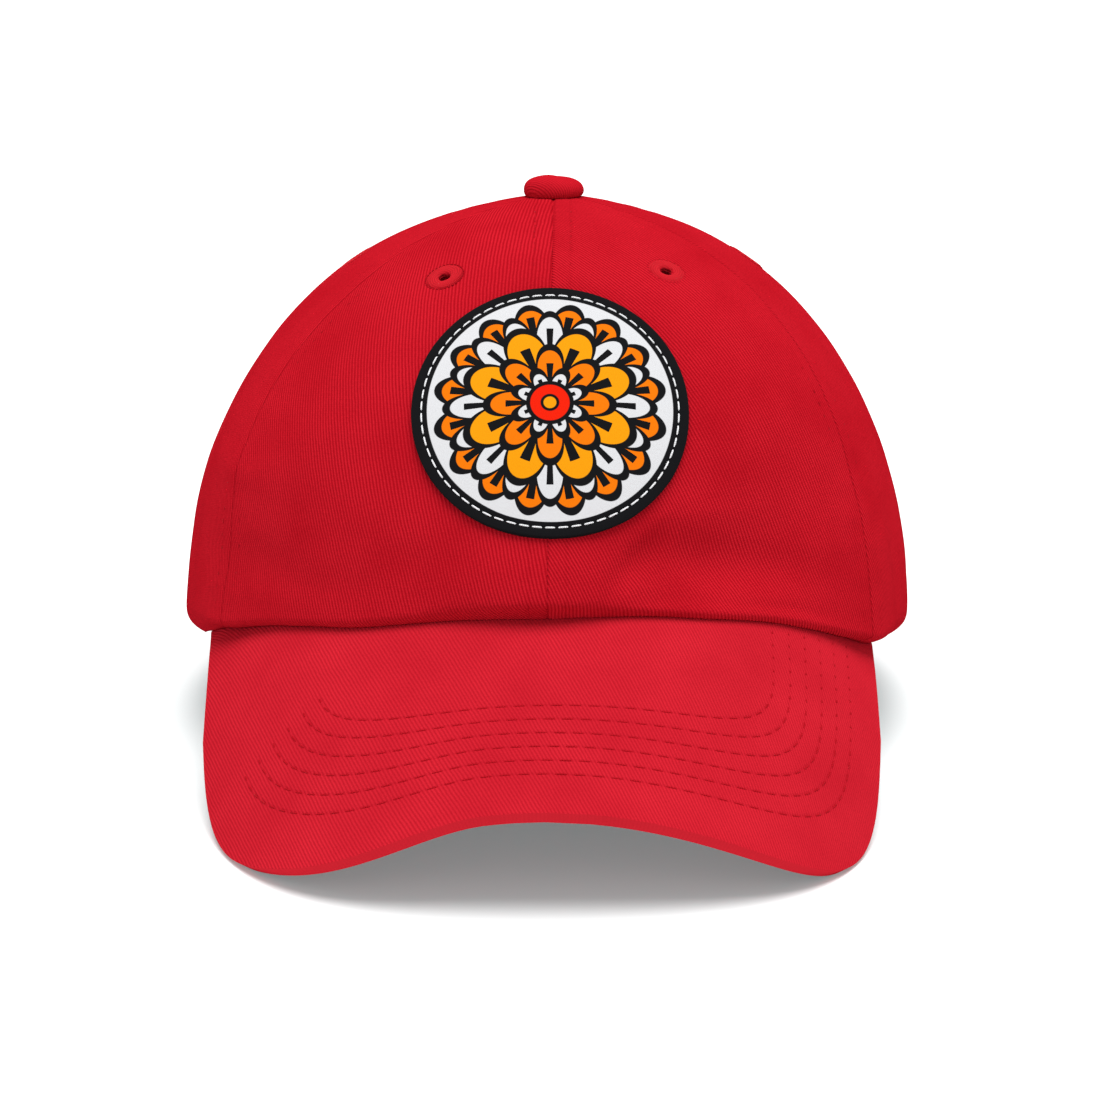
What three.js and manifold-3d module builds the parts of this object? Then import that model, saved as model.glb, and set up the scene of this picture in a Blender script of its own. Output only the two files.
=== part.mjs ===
// A dad hat: a soft crown of six cotton panels, a curved visor, a round patch on the front,
// a button, six sewn eyelets, a sweatband and a strap with a metal slide over the rear opening.
// It rests on a flat surface by itself, on the visor's two front corners and the rear hem.
//
// Millimetres and degrees. The shapes are worked out in the hat's own frame: +X is to the right
// for someone who faces the hat, -Y is the front, +Z is up, and z = 0 is near the lower edge.
// An azimuth is 0 at the front seam and grows towards +X.

import * as THREE from 'three';
import { mergeVertices } from 'three/addons/utils/BufferGeometryUtils.js';
import Module from 'manifold-3d';

const wasm = await Module();
wasm.setup();

// Driving dimensions of the crown
const CROWN = {
  halfWidth: 91.9,
  frontDepth: 93.3,
  rearDepth: 101,
  height: 102.5,
  fullness: 2.09,
  rearFullness: 1.95,
  lean: 1.6,
  panelHollow: 0.6,
  wall: 1.2,
  seamGap: 0.3,
  topHoleRadius: 3,
};

// The lower edge: it follows the visor in front, then drops to the sides and the rear
const HEM = {
  roll: 5,
  frontRoll: 1.3,
  frontFrom: 38,
  frontTo: 74,
  rearRoll: 2.5,
  rollHeight: 3.6,
  sideRollHeight: 2.8,
  cornerRollHeight: 8,
  cornerFrom: 62,
  cornerTo: 78,
  flare: 0.9,
  flareHeight: 16,
  heldHeight: 6,
  rollFrom: 12,
  rollTo: 36,
  aboveVisor: 0.45,
  side: -7.2,
  leftSideFrom: 75,
  rightSideFrom: 70,
  sideTo: 88,
  rearFrom: 96,
  rearTo: 150,
  pressed: 0.8,
};

// The visor is a board bent round a cylinder that tightens towards its front edge
const VISOR = {
  pitch: 30,
  bendRadius: 107,
  frontBendRadius: 86.6,
  reach: 67,
  skew: 0.038,
  leftHalfWidth: 95,
  rightHalfWidth: 92.6,
  leftCornerPower: 2.9,
  rightCornerPower: 3.5,
  archHeight: 10.8,
  wingDrop: 5.5,
  wingReach: 47,
  leftTemple: 76,
  rightTemple: 68,
  underHem: 1.4,
  wall: 3,
  shift: -0.5,
};

// Dents and swells of the visor. Each row is one form: its place on the flat pattern, how far
// it reaches across and along, and how far it lifts the board, in mm
const VISOR_FORMS = [
  { across: -85, reach: -30, wide: 40, deep: 60, up: 2.2 },
  { across: 44, reach: 0, wide: 48, deep: 60, up: 2.2 },
  { across: -48, reach: 62, wide: 34, deep: 40, up: -3 },
  { across: -97, reach: -58, wide: 12, deep: 26, up: -1.7 },
  { across: 93, reach: -46, wide: 14, deep: 22, up: -1.1 },
  { across: -66, reach: -20, wide: 30, deep: 26, up: 1.8 },
  { across: 65, reach: -20, wide: 31, deep: 28, up: 2.3 },
  { across: 0, reach: 0, wide: 130, deep: 30, up: 0.5 },
];

// Soft forms pressed into the cloth. Each row is one dent or swell: its azimuth and height,
// how far it reaches to each side in degrees and up in mm, how far it stands out in mm, and by
// how many mm it climbs for each degree round the crown
const FORMS = [
  { azimuth: -3, height: 20, across: 20, up: 16, out: 2.8, slant: 0 },
  { azimuth: 27, height: 24, across: 21, up: 12, out: -2.4, slant: 0 },
  { azimuth: 36, height: 26, across: 28, up: 33, out: -2.8, slant: 0 },
  { azimuth: 42, height: 70, across: 36, up: 36, out: 2.4, slant: 0 },
  { azimuth: 15, height: 26, across: 9, up: 6, out: -1.3, slant: 1.1 },
  { azimuth: -50, height: 52, across: 37, up: 36, out: 3.1, slant: 0 },
  { azimuth: -60, height: 41, across: 22, up: 7, out: 0.5, slant: 0 },
  { azimuth: -100, height: 16, across: 26, up: 16, out: -0.8, slant: 0 },
];

const PATCH = {
  radius: 32.9,
  wall: 1.5,
  clearance: 0.3,
  bevel: 0.5,
  centreHeight: 61,
  centreX: 0.7,
};

const BUTTON = {
  radius: 7.6,
  height: 5.5,
  shankRadius: 2.3,
  shankLength: 3,
  clearance: 0.5,
  roll: 3.5,
};

const EYELET = {
  outerRadius: 4.6,
  holeRadius: 1.6,
  wall: 1.8,
  clearance: 0.25,
};

// Where the eyelets are sewn, two in front and one in each other panel
const EYELET_PLACES = [
  { azimuth: -32, height: 88 },
  { azimuth: 34.5, height: 89.2 },
  { azimuth: 91, height: 88 },
  { azimuth: 149, height: 88 },
  { azimuth: -149, height: 88 },
  { azimuth: -90, height: 88 },
];

const SWEATBAND = {
  width: 28,
  wall: 1.2,
  clearance: 0.4,
  aboveHem: 2.5,
  endAzimuth: 147,
};

const OPENING = {
  halfWidth: 38,
  straightHeight: 8,
  archHeight: 36,
};

const STRAP = {
  width: 20,
  wall: 1.6,
  clearance: 0.4,
  aboveHem: 3.5,
  halfAngle: 30,
};

const BUCKLE = {
  azimuth: 171,
  height: 25,
  depth: 6,
  length: 13,
  slotHeight: 21.6,
  slotDepth: 3.6,
  corner: 1.5,
};

// How the hat rests: turned back by this much, and moved so that its box stands on z = 0
const REST = { tilt: 8.1, forward: 25.3, lift: 27.4 };

const COLOURS = {
  cloth: new THREE.Color('#c81e2c'),
  patch: new THREE.Color('#1e1e20'),
  band: new THREE.Color('#b81a27'),
  metal: new THREE.Color('#b8a070'),
};

const rad = THREE.MathUtils.degToRad;
const clamp = THREE.MathUtils.clamp;
const smooth = (value) => THREE.MathUtils.smoothstep(value, 0, 1);
const crownFront = -(CROWN.frontDepth - HEM.frontRoll);

// A bump of height 1 that falls softly to 0 at a distance of 1
function bump(distance) {
  return Math.max(1 - distance * distance, 0) ** 2;
}

// Visor

// How far the visor's dents and swells lift its top surface
function visorSwell(across, reach) {
  let total = 0;
  for (const form of VISOR_FORMS) {
    total += form.up * bump((across - form.across) / form.wide) * bump((reach - form.reach) / form.deep);
  }
  return total;
}

// Height of the visor's top surface over the point x, y, at or behind the seam's front line
function visorLine(x, y) {
  const pitch = rad(VISOR.pitch);
  const off = x - VISOR.shift;
  const sag = VISOR.bendRadius - Math.sqrt(VISOR.bendRadius ** 2 - off ** 2);
  const behind = (y - crownFront - sag * Math.sin(pitch)) / Math.cos(pitch);
  const drop = VISOR.wingDrop * (Math.max(behind, 0) / VISOR.wingReach) ** 2;
  const raised = visorSwell(VISOR.bendRadius * Math.asin(off / VISOR.bendRadius), -behind);
  return VISOR.archHeight + behind * Math.sin(pitch) - sag * Math.cos(pitch) - drop + raised;
}

// A point of the bent board from its place on the flat pattern
function visorPoint(across, reach) {
  const pitch = rad(VISOR.pitch);
  const share = Math.max(reach, 0) / VISOR.reach;
  const radius = THREE.MathUtils.lerp(VISOR.bendRadius, VISOR.frontBendRadius, share);
  const bend = across / radius;
  const sag = radius * (1 - Math.cos(bend));
  const drop = VISOR.wingDrop * (Math.max(-reach, 0) / VISOR.wingReach) ** 2;
  const raised = visorSwell(across, reach) - drop;
  return new THREE.Vector3(
    VISOR.shift + radius * Math.sin(bend),
    crownFront - reach * Math.cos(pitch) + sag * Math.sin(pitch),
    VISOR.archHeight - reach * Math.sin(pitch) - sag * Math.cos(pitch) + raised,
  );
}

// The flat pattern's place of a point under the hem
function visorFlat(x, y) {
  const pitch = rad(VISOR.pitch);
  const off = x - VISOR.shift;
  const across = VISOR.bendRadius * Math.asin(off / VISOR.bendRadius);
  const sag = VISOR.bendRadius * (1 - Math.cos(across / VISOR.bendRadius));
  return [across, (crownFront + sag * Math.sin(pitch) - y) / Math.cos(pitch)];
}

function templeAzimuth(along) {
  return along < 0 ? VISOR.leftTemple : VISOR.rightTemple;
}

// The board's outer edge on the flat pattern, from the left temple (-1) to the right one (1)
function visorEdge(along) {
  const cornerShare = 0.8;
  const far = Math.abs(along);
  const side = Math.sign(along);
  const halfWidth = along < 0 ? VISOR.leftHalfWidth : VISOR.rightHalfWidth;
  if (far > cornerShare) {
    const back = (far - cornerShare) / (1 - cornerShare);
    const temple = hemPoint(side * templeAzimuth(along), 0);
    const [across, reach] = visorFlat(temple.x, temple.y);
    const width = THREE.MathUtils.lerp(halfWidth, Math.abs(across), back ** 3);
    return [side * width, reach * back];
  }
  const turn = (far / cornerShare) * Math.PI / 2;
  const power = 2 / (along < 0 ? VISOR.leftCornerPower : VISOR.rightCornerPower);
  return [
    side * halfWidth * Math.sin(turn) ** power,
    VISOR.reach * (1 - VISOR.skew * along) * Math.max(Math.cos(turn), 0) ** power,
  ];
}

// Crown

// Half the crown's width in the direction of an azimuth, at its widest
function crownReach(azimuth) {
  const sine = Math.sin(rad(azimuth));
  const cosine = Math.cos(rad(azimuth));
  const depth = cosine > 0 ? CROWN.frontDepth : CROWN.rearDepth;
  return 1 / Math.hypot(sine / CROWN.halfWidth, cosine / depth);
}

function hemRoll(azimuth) {
  const far = Math.abs(wrapped(azimuth));
  const aside = smooth((far - HEM.frontFrom) / (HEM.frontTo - HEM.frontFrom));
  const behind = smooth((far - HEM.sideTo) / (HEM.rearTo - HEM.sideTo));
  const roll = THREE.MathUtils.lerp(HEM.frontRoll, HEM.roll, aside);
  return THREE.MathUtils.lerp(roll, HEM.rearRoll, behind);
}

// The azimuth from -180 to 180
function wrapped(azimuth) {
  return THREE.MathUtils.euclideanModulo(azimuth + 180, 360) - 180;
}

function hemPoint(azimuth, inset) {
  const reach = crownReach(azimuth) - hemRoll(azimuth) - inset;
  return { x: reach * Math.sin(rad(azimuth)), y: -reach * Math.cos(rad(azimuth)) };
}

// Height of the surface that the hat rests on, in the hat's own frame
function restHeight(y) {
  const tilt = rad(REST.tilt);
  return (y * Math.sin(tilt) - REST.lift) / Math.cos(tilt);
}

function hemHeight(azimuth) {
  const far = Math.abs(wrapped(azimuth));
  const { x, y } = hemPoint(wrapped(azimuth), 0);
  const front = Math.min(far, HEM.sideTo);
  const near = hemPoint(front, 0);
  const overVisor = visorLine(far < HEM.sideTo ? x : near.x, far < HEM.sideTo ? y : near.y);
  const sideFrom = wrapped(azimuth) < 0 ? HEM.leftSideFrom : HEM.rightSideFrom;
  const toSide = smooth((far - sideFrom) / (HEM.sideTo - sideFrom));
  const toRear = smooth((far - HEM.rearFrom) / (HEM.rearTo - HEM.rearFrom));
  const side = THREE.MathUtils.lerp(HEM.side, restHeight(y) - HEM.pressed, toRear);
  return THREE.MathUtils.lerp(overVisor + HEM.aboveVisor, side, toSide);
}

function crownRadius(azimuth, z) {
  const cosine = Math.cos(rad(azimuth));
  const rearward = Math.max(-cosine, 0);
  const fullness = THREE.MathUtils.lerp(CROWN.fullness, CROWN.rearFullness, rearward);
  const up = clamp(z / CROWN.height, 0, 1);
  const dome = (1 - up ** fullness) ** (1 / fullness);
  const above = z - hemHeight(azimuth);
  const far = Math.abs(wrapped(azimuth));
  const toSide = smooth((far - HEM.rollFrom) / (HEM.rollTo - HEM.rollFrom));
  const toCorner = smooth((far - HEM.cornerFrom) / (HEM.cornerTo - HEM.cornerFrom));
  const frontHeight = THREE.MathUtils.lerp(HEM.rollHeight, HEM.sideRollHeight, toSide);
  const rollHeight = THREE.MathUtils.lerp(frontHeight, HEM.cornerRollHeight, toCorner);
  const flare = HEM.flare * (1 - toCorner);
  const folded = Math.max(1 - above / rollHeight, 0) ** (2 + toCorner);
  const flared = Math.max(1 - above / HEM.flareHeight, 0) ** 2;
  const rolled = (hemRoll(azimuth) + flare) * folded - flare * flared;
  const hollow = CROWN.panelHollow * (1 - Math.cos(rad(6 * azimuth))) / 2;
  let pressed = -hollow * Math.sin(Math.PI * clamp(above / CROWN.height, 0, 1));
  const free = smooth(above / HEM.heldHeight);
  for (const form of FORMS) {
    const aside = wrapped(azimuth - form.azimuth);
    const over = z - form.height - form.slant * aside;
    pressed += form.out * bump(aside / form.across) * bump(over / form.up) * free;
  }
  return crownReach(azimuth) * dome - rolled + pressed;
}

function crownPoint(azimuth, z) {
  const radius = crownRadius(azimuth, z);
  const lean = CROWN.lean * clamp(z / CROWN.height, 0, 1) ** 2;
  return new THREE.Vector3(
    radius * Math.sin(rad(azimuth)) + lean,
    -radius * Math.cos(rad(azimuth)),
    z,
  );
}

// A height on the crown from a share of the way between the hem and the hole under the button,
// with the steps closer together near the hem, where the cloth rolls in
function crownHeight(azimuth, share) {
  const low = Math.asin(hemHeight(azimuth) / CROWN.height);
  const high = Math.acos(CROWN.topHoleRadius / crownReach(azimuth));
  return CROWN.height * Math.sin(THREE.MathUtils.lerp(low, high, share ** 1.5));
}

function crownNormal(azimuth, z) {
  const step = 0.4;
  const around = crownPoint(azimuth + step, z).sub(crownPoint(azimuth - step, z));
  const upwards = crownPoint(azimuth, z + step / 2).sub(crownPoint(azimuth, z - step / 2));
  return around.cross(upwards).normalize();
}

// Mesh building

function meshFrom(positions, triangles) {
  const geometry = new THREE.BufferGeometry();
  geometry.setAttribute('position', new THREE.Float32BufferAttribute(positions, 3));
  geometry.setIndex(triangles);
  return geometry;
}

// A closed wall. surface(u, v) gives points of its outer face with u to the right and v up
// as seen from outside, and the wall lies behind that face
function sheet(surface, columns, rows, wall) {
  const positions = [];
  const triangles = [];
  const layer = (columns + 1) * (rows + 1);
  const index = (column, row, inner) => inner * layer + row * (columns + 1) + column;
  const step = 1e-3;
  const inner = [];
  for (let row = 0; row <= rows; row += 1) {
    for (let column = 0; column <= columns; column += 1) {
      const u = column / columns;
      const v = row / rows;
      const point = surface(u, v);
      const uLow = Math.max(u - step, 0);
      const vLow = Math.max(v - step, 0);
      const alongU = surface(Math.min(u + step, 1), v).sub(surface(uLow, v));
      const alongV = surface(u, Math.min(v + step, 1)).sub(surface(u, vLow));
      const normal = alongU.cross(alongV).normalize();
      positions.push(...point.toArray());
      inner.push(...point.addScaledVector(normal, -wall).toArray());
    }
  }
  positions.push(...inner);
  const quad = (a, b, c, d) => triangles.push(a, b, c, a, c, d);
  for (let row = 0; row < rows; row += 1) {
    for (let column = 0; column < columns; column += 1) {
      for (const face of [0, 1]) {
        const corners = [
          index(column, row, face),
          index(column + 1, row, face),
          index(column + 1, row + 1, face),
          index(column, row + 1, face),
        ];
        quad(...(face ? corners.reverse() : corners));
      }
    }
  }
  for (let column = 0; column < columns; column += 1) {
    quad(index(column + 1, 0, 0), index(column, 0, 0), index(column, 0, 1), index(column + 1, 0, 1));
    quad(index(column, rows, 0), index(column + 1, rows, 0),
      index(column + 1, rows, 1), index(column, rows, 1));
  }
  for (let row = 0; row < rows; row += 1) {
    quad(index(0, row, 0), index(0, row + 1, 0), index(0, row + 1, 1), index(0, row, 1));
    quad(index(columns, row + 1, 0), index(columns, row, 0),
      index(columns, row, 1), index(columns, row + 1, 1));
  }
  return meshFrom(positions, triangles);
}

// Position only, with the vertices that faces share merged
function welded(geometry) {
  const bare = new THREE.BufferGeometry();
  bare.setAttribute('position', geometry.getAttribute('position').clone());
  if (geometry.index) bare.setIndex(geometry.index.clone());
  return mergeVertices(bare, 1e-4);
}

function solidFrom(geometry) {
  const shape = welded(geometry);
  return new wasm.Manifold(new wasm.Mesh({
    numProp: 3,
    vertProperties: Float32Array.from(shape.getAttribute('position').array),
    triVerts: Uint32Array.from(shape.index.array),
  }));
}

function geometryFrom(solid) {
  const mesh = solid.getMesh();
  return meshFrom(Array.from(mesh.vertProperties), Array.from(mesh.triVerts));
}

function cut(geometry, cutters) {
  let solid = solidFrom(geometry);
  for (const cutter of cutters) solid = solid.subtract(solidFrom(cutter));
  return geometryFrom(solid);
}

// Turns and moves a geometry so that its +Y points along the crown's normal at a place
function seatOnCrown(geometry, azimuth, z, depth) {
  const normal = crownNormal(azimuth, z);
  const turn = new THREE.Quaternion().setFromUnitVectors(new THREE.Vector3(0, 1, 0), normal);
  const place = crownPoint(azimuth, z).addScaledVector(normal, -depth);
  geometry.applyQuaternion(turn);
  return geometry.translate(place.x, place.y, place.z);
}

const material = (color, roughness, metalness = 0) => (
  new THREE.MeshStandardMaterial({ color, roughness, metalness })
);
const cloth = material(COLOURS.cloth, 0.9);

function named(name, geometry, finish) {
  const mesh = new THREE.Mesh(welded(geometry), finish);
  mesh.geometry.computeVertexNormals();
  mesh.name = name;
  return mesh;
}

// Pieces

// The half-moon opening at the rear, as a block that cuts right through the rear panels
function rearOpening() {
  const base = restHeight(CROWN.rearDepth);
  const spring = base + OPENING.straightHeight;
  const shape = new THREE.Shape();
  shape.moveTo(-OPENING.halfWidth, base - 20);
  shape.lineTo(OPENING.halfWidth, base - 20);
  shape.lineTo(OPENING.halfWidth, spring);
  shape.absellipse(0, spring, OPENING.halfWidth, OPENING.archHeight, 0, Math.PI, false, 0);
  const block = new THREE.ExtrudeGeometry(shape, {
    depth: 80, bevelEnabled: false, curveSegments: 20,
  });
  // The outline is drawn across and up, and the block runs from front to rear
  return block.rotateX(Math.PI / 2).translate(0, 130, 0);
}

// Everything below the surface that the hat rests on: the cloth is flat where it touches it
function belowRest() {
  const size = 400;
  const block = new THREE.BoxGeometry(size, size, size);
  return block.translate(0, -REST.forward, -REST.lift - size / 2).rotateX(rad(REST.tilt));
}

function eyeletHole({ azimuth, height }) {
  const radius = EYELET.outerRadius + EYELET.clearance;
  const hole = new THREE.CylinderGeometry(radius, radius, 14, 18);
  return seatOnCrown(hole, azimuth, height, 0);
}

function crownPanel(name, from, to) {
  const columns = 10;
  const rows = 18;
  const surface = (u, v) => {
    const azimuth = THREE.MathUtils.lerp(from, to, u);
    const z = crownHeight(azimuth, v);
    const half = Math.max(crownRadius(azimuth, z), CROWN.topHoleRadius);
    const gap = THREE.MathUtils.radToDeg(Math.asin(CROWN.seamGap / 2 / half));
    const inside = THREE.MathUtils.lerp(from + gap, to - gap, u);
    return crownPoint(inside, z);
  };
  const inPanel = ({ azimuth }) => azimuth > from && azimuth < to;
  const cutters = EYELET_PLACES.filter(inPanel).map(eyeletHole);
  if (Math.abs(from + to) > 240) cutters.push(rearOpening(), belowRest());
  return named(name, cut(sheet(surface, columns, rows, CROWN.wall), cutters), cloth);
}

const PANELS = [
  { name: 'back_left_panel', from: -180, to: -120 },
  { name: 'side_left_panel', from: -120, to: -60 },
  { name: 'front_left_panel', from: -60, to: 0 },
  { name: 'front_right_panel', from: 0, to: 60 },
  { name: 'side_right_panel', from: 60, to: 120 },
  { name: 'back_right_panel', from: 120, to: 180 },
];

function visor() {
  const surface = (u, v) => {
    const along = 2 * u - 1;
    const [acrossOut, reachOut] = visorEdge(along);
    const seam = hemPoint(along * templeAzimuth(along), VISOR.underHem);
    const [acrossIn, reachIn] = visorFlat(seam.x, seam.y);
    return visorPoint(
      THREE.MathUtils.lerp(acrossOut, acrossIn, v),
      THREE.MathUtils.lerp(reachOut, reachIn, v),
    );
  };
  return named('visor', cut(sheet(surface, 40, 7, VISOR.wall), [belowRest()]), cloth);
}

function sweatband() {
  const surface = (u, v) => {
    const azimuth = THREE.MathUtils.lerp(-SWEATBAND.endAzimuth, SWEATBAND.endAzimuth, u);
    const low = hemHeight(azimuth) + SWEATBAND.aboveHem;
    let radius = crownReach(azimuth) - hemRoll(azimuth);
    for (let step = 0; step <= 8; step += 1) {
      radius = Math.min(radius, crownRadius(azimuth, low + (step / 8) * SWEATBAND.width));
    }
    radius -= CROWN.wall * 1.1 + SWEATBAND.clearance;
    const z = low + v * SWEATBAND.width;
    return new THREE.Vector3(radius * Math.sin(rad(azimuth)), -radius * Math.cos(rad(azimuth)), z);
  };
  return named('sweatband', sheet(surface, 60, 3, SWEATBAND.wall), material(COLOURS.band, 0.85));
}

// The patch is a flat disc laid on the crown along the direction it faces
function patch() {
  const { radius, wall, bevel, clearance } = PATCH;
  const rings = 5;
  const profile = [];
  for (let ring = 0; ring <= rings; ring += 1) {
    profile.push(new THREE.Vector2((radius - bevel) * ring / rings, wall));
  }
  profile.push(new THREE.Vector2(radius, wall - bevel));
  for (let ring = rings; ring >= 0; ring -= 1) {
    profile.push(new THREE.Vector2(radius * ring / rings, 0));
  }
  const disc = welded(new THREE.LatheGeometry(profile.reverse(), 36));
  const centre = crownPoint(0, PATCH.centreHeight);
  centre.x = PATCH.centreX;
  const facing = crownNormal(0, PATCH.centreHeight).setX(0).normalize();
  const upwards = new THREE.Vector3(1, 0, 0).cross(facing).negate();
  const position = disc.getAttribute('position');
  for (let index = 0; index < position.count; index += 1) {
    const flat = new THREE.Vector3().fromBufferAttribute(position, index);
    const start = centre.clone();
    start.x += flat.x;
    start.addScaledVector(upwards, -flat.z);
    const { azimuth, z } = landOnCrown(start, facing);
    const foot = crownPoint(azimuth, z);
    foot.addScaledVector(crownNormal(azimuth, z), clearance + flat.y);
    position.setXYZ(index, foot.x, foot.y, foot.z);
  }
  return named('patch', disc, material(COLOURS.patch, 0.85));
}

// Where the line through a point along a direction meets the crown, by the secant method
function landOnCrown(start, direction) {
  const place = (reach) => {
    const point = start.clone().addScaledVector(direction, reach);
    const lean = CROWN.lean * clamp(point.z / CROWN.height, 0, 1) ** 2;
    const azimuth = THREE.MathUtils.radToDeg(Math.atan2(point.x - lean, -point.y));
    const outside = Math.hypot(point.x - lean, point.y) - crownRadius(azimuth, point.z);
    return { azimuth, z: point.z, outside };
  };
  let before = 0;
  let reach = -4;
  let last = place(before);
  for (let turn = 0; turn < 12; turn += 1) {
    const now = place(reach);
    if (Math.abs(now.outside - last.outside) < 1e-9) return now;
    const next = reach - now.outside * (reach - before) / (now.outside - last.outside);
    before = reach;
    last = now;
    reach = next;
  }
  return place(reach);
}

function button() {
  const { radius, height, shankRadius, shankLength, clearance, roll } = BUTTON;
  const profile = [
    new THREE.Vector2(0, -shankLength),
    new THREE.Vector2(shankRadius, -shankLength),
    new THREE.Vector2(shankRadius, 0),
    new THREE.Vector2(radius - 0.5, 0),
    new THREE.Vector2(radius, 0.8),
  ];
  const steps = 6;
  for (let step = 1; step <= steps; step += 1) {
    const turn = (step / steps) * Math.PI / 2;
    profile.push(new THREE.Vector2(
      step === steps ? 0 : radius * Math.cos(turn),
      0.8 + (height - 0.8) * Math.sin(turn),
    ));
  }
  const dome = new THREE.LatheGeometry(profile, 24).rotateX(Math.PI / 2);
  const mesh = named('button', dome, cloth);
  mesh.position.set(CROWN.lean, 0, CROWN.height + clearance);
  mesh.rotation.y = rad(roll);
  return mesh;
}

function eyelet({ azimuth, height }, number) {
  const { outerRadius, holeRadius, wall } = EYELET;
  const middle = (outerRadius + holeRadius) / 2;
  const half = (outerRadius - holeRadius) / 2;
  const sides = 5;
  const section = [];
  for (let side = 0; side <= sides; side += 1) {
    const turn = ((side % sides) + 0.5) / sides * 2 * Math.PI;
    section.push(new THREE.Vector2(
      middle + half * Math.cos(turn),
      (wall / 2) * Math.sin(turn),
    ));
  }
  const ring = seatOnCrown(new THREE.LatheGeometry(section, 16), azimuth, height,
    CROWN.wall / 2);
  return named(`eyelet_${number}`, ring, cloth);
}

// The strap stands upright against the inside of the rear panels
function strapRadius(azimuth) {
  const low = restHeight(CROWN.rearDepth) + STRAP.aboveHem;
  const narrow = Math.min(crownRadius(azimuth, low), crownRadius(azimuth, low + STRAP.width));
  return narrow - CROWN.wall - STRAP.clearance;
}

function closureStrap() {
  const surface = (u, v) => {
    const azimuth = 180 - STRAP.halfAngle + 2 * STRAP.halfAngle * u;
    const z = restHeight(CROWN.rearDepth) + STRAP.aboveHem + v * STRAP.width;
    const radius = strapRadius(azimuth);
    return new THREE.Vector3(radius * Math.sin(rad(azimuth)), -radius * Math.cos(rad(azimuth)), z);
  };
  return named('closure_strap', sheet(surface, 16, 2, STRAP.wall), cloth);
}

function roundedRectangle(target, halfWidth, halfHeight, corner) {
  target.moveTo(halfWidth - corner, -halfHeight);
  target.absarc(halfWidth - corner, -halfHeight + corner, corner, -Math.PI / 2, 0, false);
  target.absarc(halfWidth - corner, halfHeight - corner, corner, 0, Math.PI / 2, false);
  target.absarc(-halfWidth + corner, halfHeight - corner, corner, Math.PI / 2, Math.PI, false);
  target.absarc(-halfWidth + corner, -halfHeight + corner, corner, Math.PI, 1.5 * Math.PI, false);
  return target;
}

// A metal slide: one flat sleeve that the strap runs through
function closureBuckle() {
  const { azimuth, height, depth, length, slotHeight, slotDepth, corner } = BUCKLE;
  const shape = roundedRectangle(new THREE.Shape(), height / 2, depth / 2, corner);
  const slot = roundedRectangle(new THREE.Path(), slotHeight / 2, slotDepth / 2, corner / 2);
  shape.holes.push(slot);
  const sleeve = new THREE.ExtrudeGeometry(shape, {
    depth: length, bevelEnabled: false, curveSegments: 3,
  }).translate(0, 0, -length / 2);
  // The outline's x becomes up, its y becomes outwards, and the length runs round the hat
  sleeve.applyMatrix4(new THREE.Matrix4().makeBasis(
    new THREE.Vector3(0, 0, 1),
    new THREE.Vector3(0, -1, 0),
    new THREE.Vector3(1, 0, 0),
  ));
  const mesh = named('closure_buckle', sleeve, material(COLOURS.metal, 0.35, 1));
  const middle = strapRadius(azimuth) - STRAP.wall / 2;
  mesh.position.set(
    middle * Math.sin(rad(azimuth)),
    -middle * Math.cos(rad(azimuth)),
    restHeight(CROWN.rearDepth) + STRAP.aboveHem + STRAP.width / 2,
  );
  mesh.rotation.z = rad(azimuth);
  return mesh;
}

// Assembly

const hat = new THREE.Group();
for (const { name, from, to } of PANELS) hat.add(crownPanel(name, from, to));
hat.add(visor(), sweatband(), patch(), button());
EYELET_PLACES.forEach((place, index) => hat.add(eyelet(place, index + 1)));
hat.add(closureStrap(), closureBuckle());
hat.rotation.x = -rad(REST.tilt);
hat.position.set(0, REST.forward, REST.lift);

const model = new THREE.Group();
model.add(hat);

export default model;
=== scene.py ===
"""A red cotton dad hat with a curved visor and a round printed patch, at rest on a pale floor.

The shapes are worked out in the hat's own frame in millimetres, with +X to the right for someone
who faces the hat, -Y the front and +Z up, and are then turned and moved to where the hat rests.
An azimuth is in degrees, 0 at the front seam and growing towards +X.
"""

import logging
import math
from dataclasses import dataclass
from enum import Enum
from functools import partial
from typing import Callable

import bmesh
import bpy
import numpy as np
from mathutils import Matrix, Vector, noise


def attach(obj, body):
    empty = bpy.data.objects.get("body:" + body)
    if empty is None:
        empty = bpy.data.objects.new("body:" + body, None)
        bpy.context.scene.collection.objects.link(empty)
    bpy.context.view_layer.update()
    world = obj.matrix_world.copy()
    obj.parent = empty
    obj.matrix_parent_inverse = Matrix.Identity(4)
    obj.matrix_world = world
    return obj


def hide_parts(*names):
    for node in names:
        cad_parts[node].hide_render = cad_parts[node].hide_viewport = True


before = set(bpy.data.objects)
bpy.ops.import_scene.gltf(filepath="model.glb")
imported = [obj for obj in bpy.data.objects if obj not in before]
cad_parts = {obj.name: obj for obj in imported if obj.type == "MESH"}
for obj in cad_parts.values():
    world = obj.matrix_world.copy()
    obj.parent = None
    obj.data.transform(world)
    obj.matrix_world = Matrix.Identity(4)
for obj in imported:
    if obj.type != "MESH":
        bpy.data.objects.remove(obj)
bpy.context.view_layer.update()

LOG = logging.getLogger("dad_hat")
MM = 0.001
BODY = "root"
Points = np.ndarray
Surface = Callable[[np.ndarray, np.ndarray], tuple[Points, np.ndarray, np.ndarray]]
Socket = bpy.types.NodeSocket
Material = bpy.types.Material


# Small helpers

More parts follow.
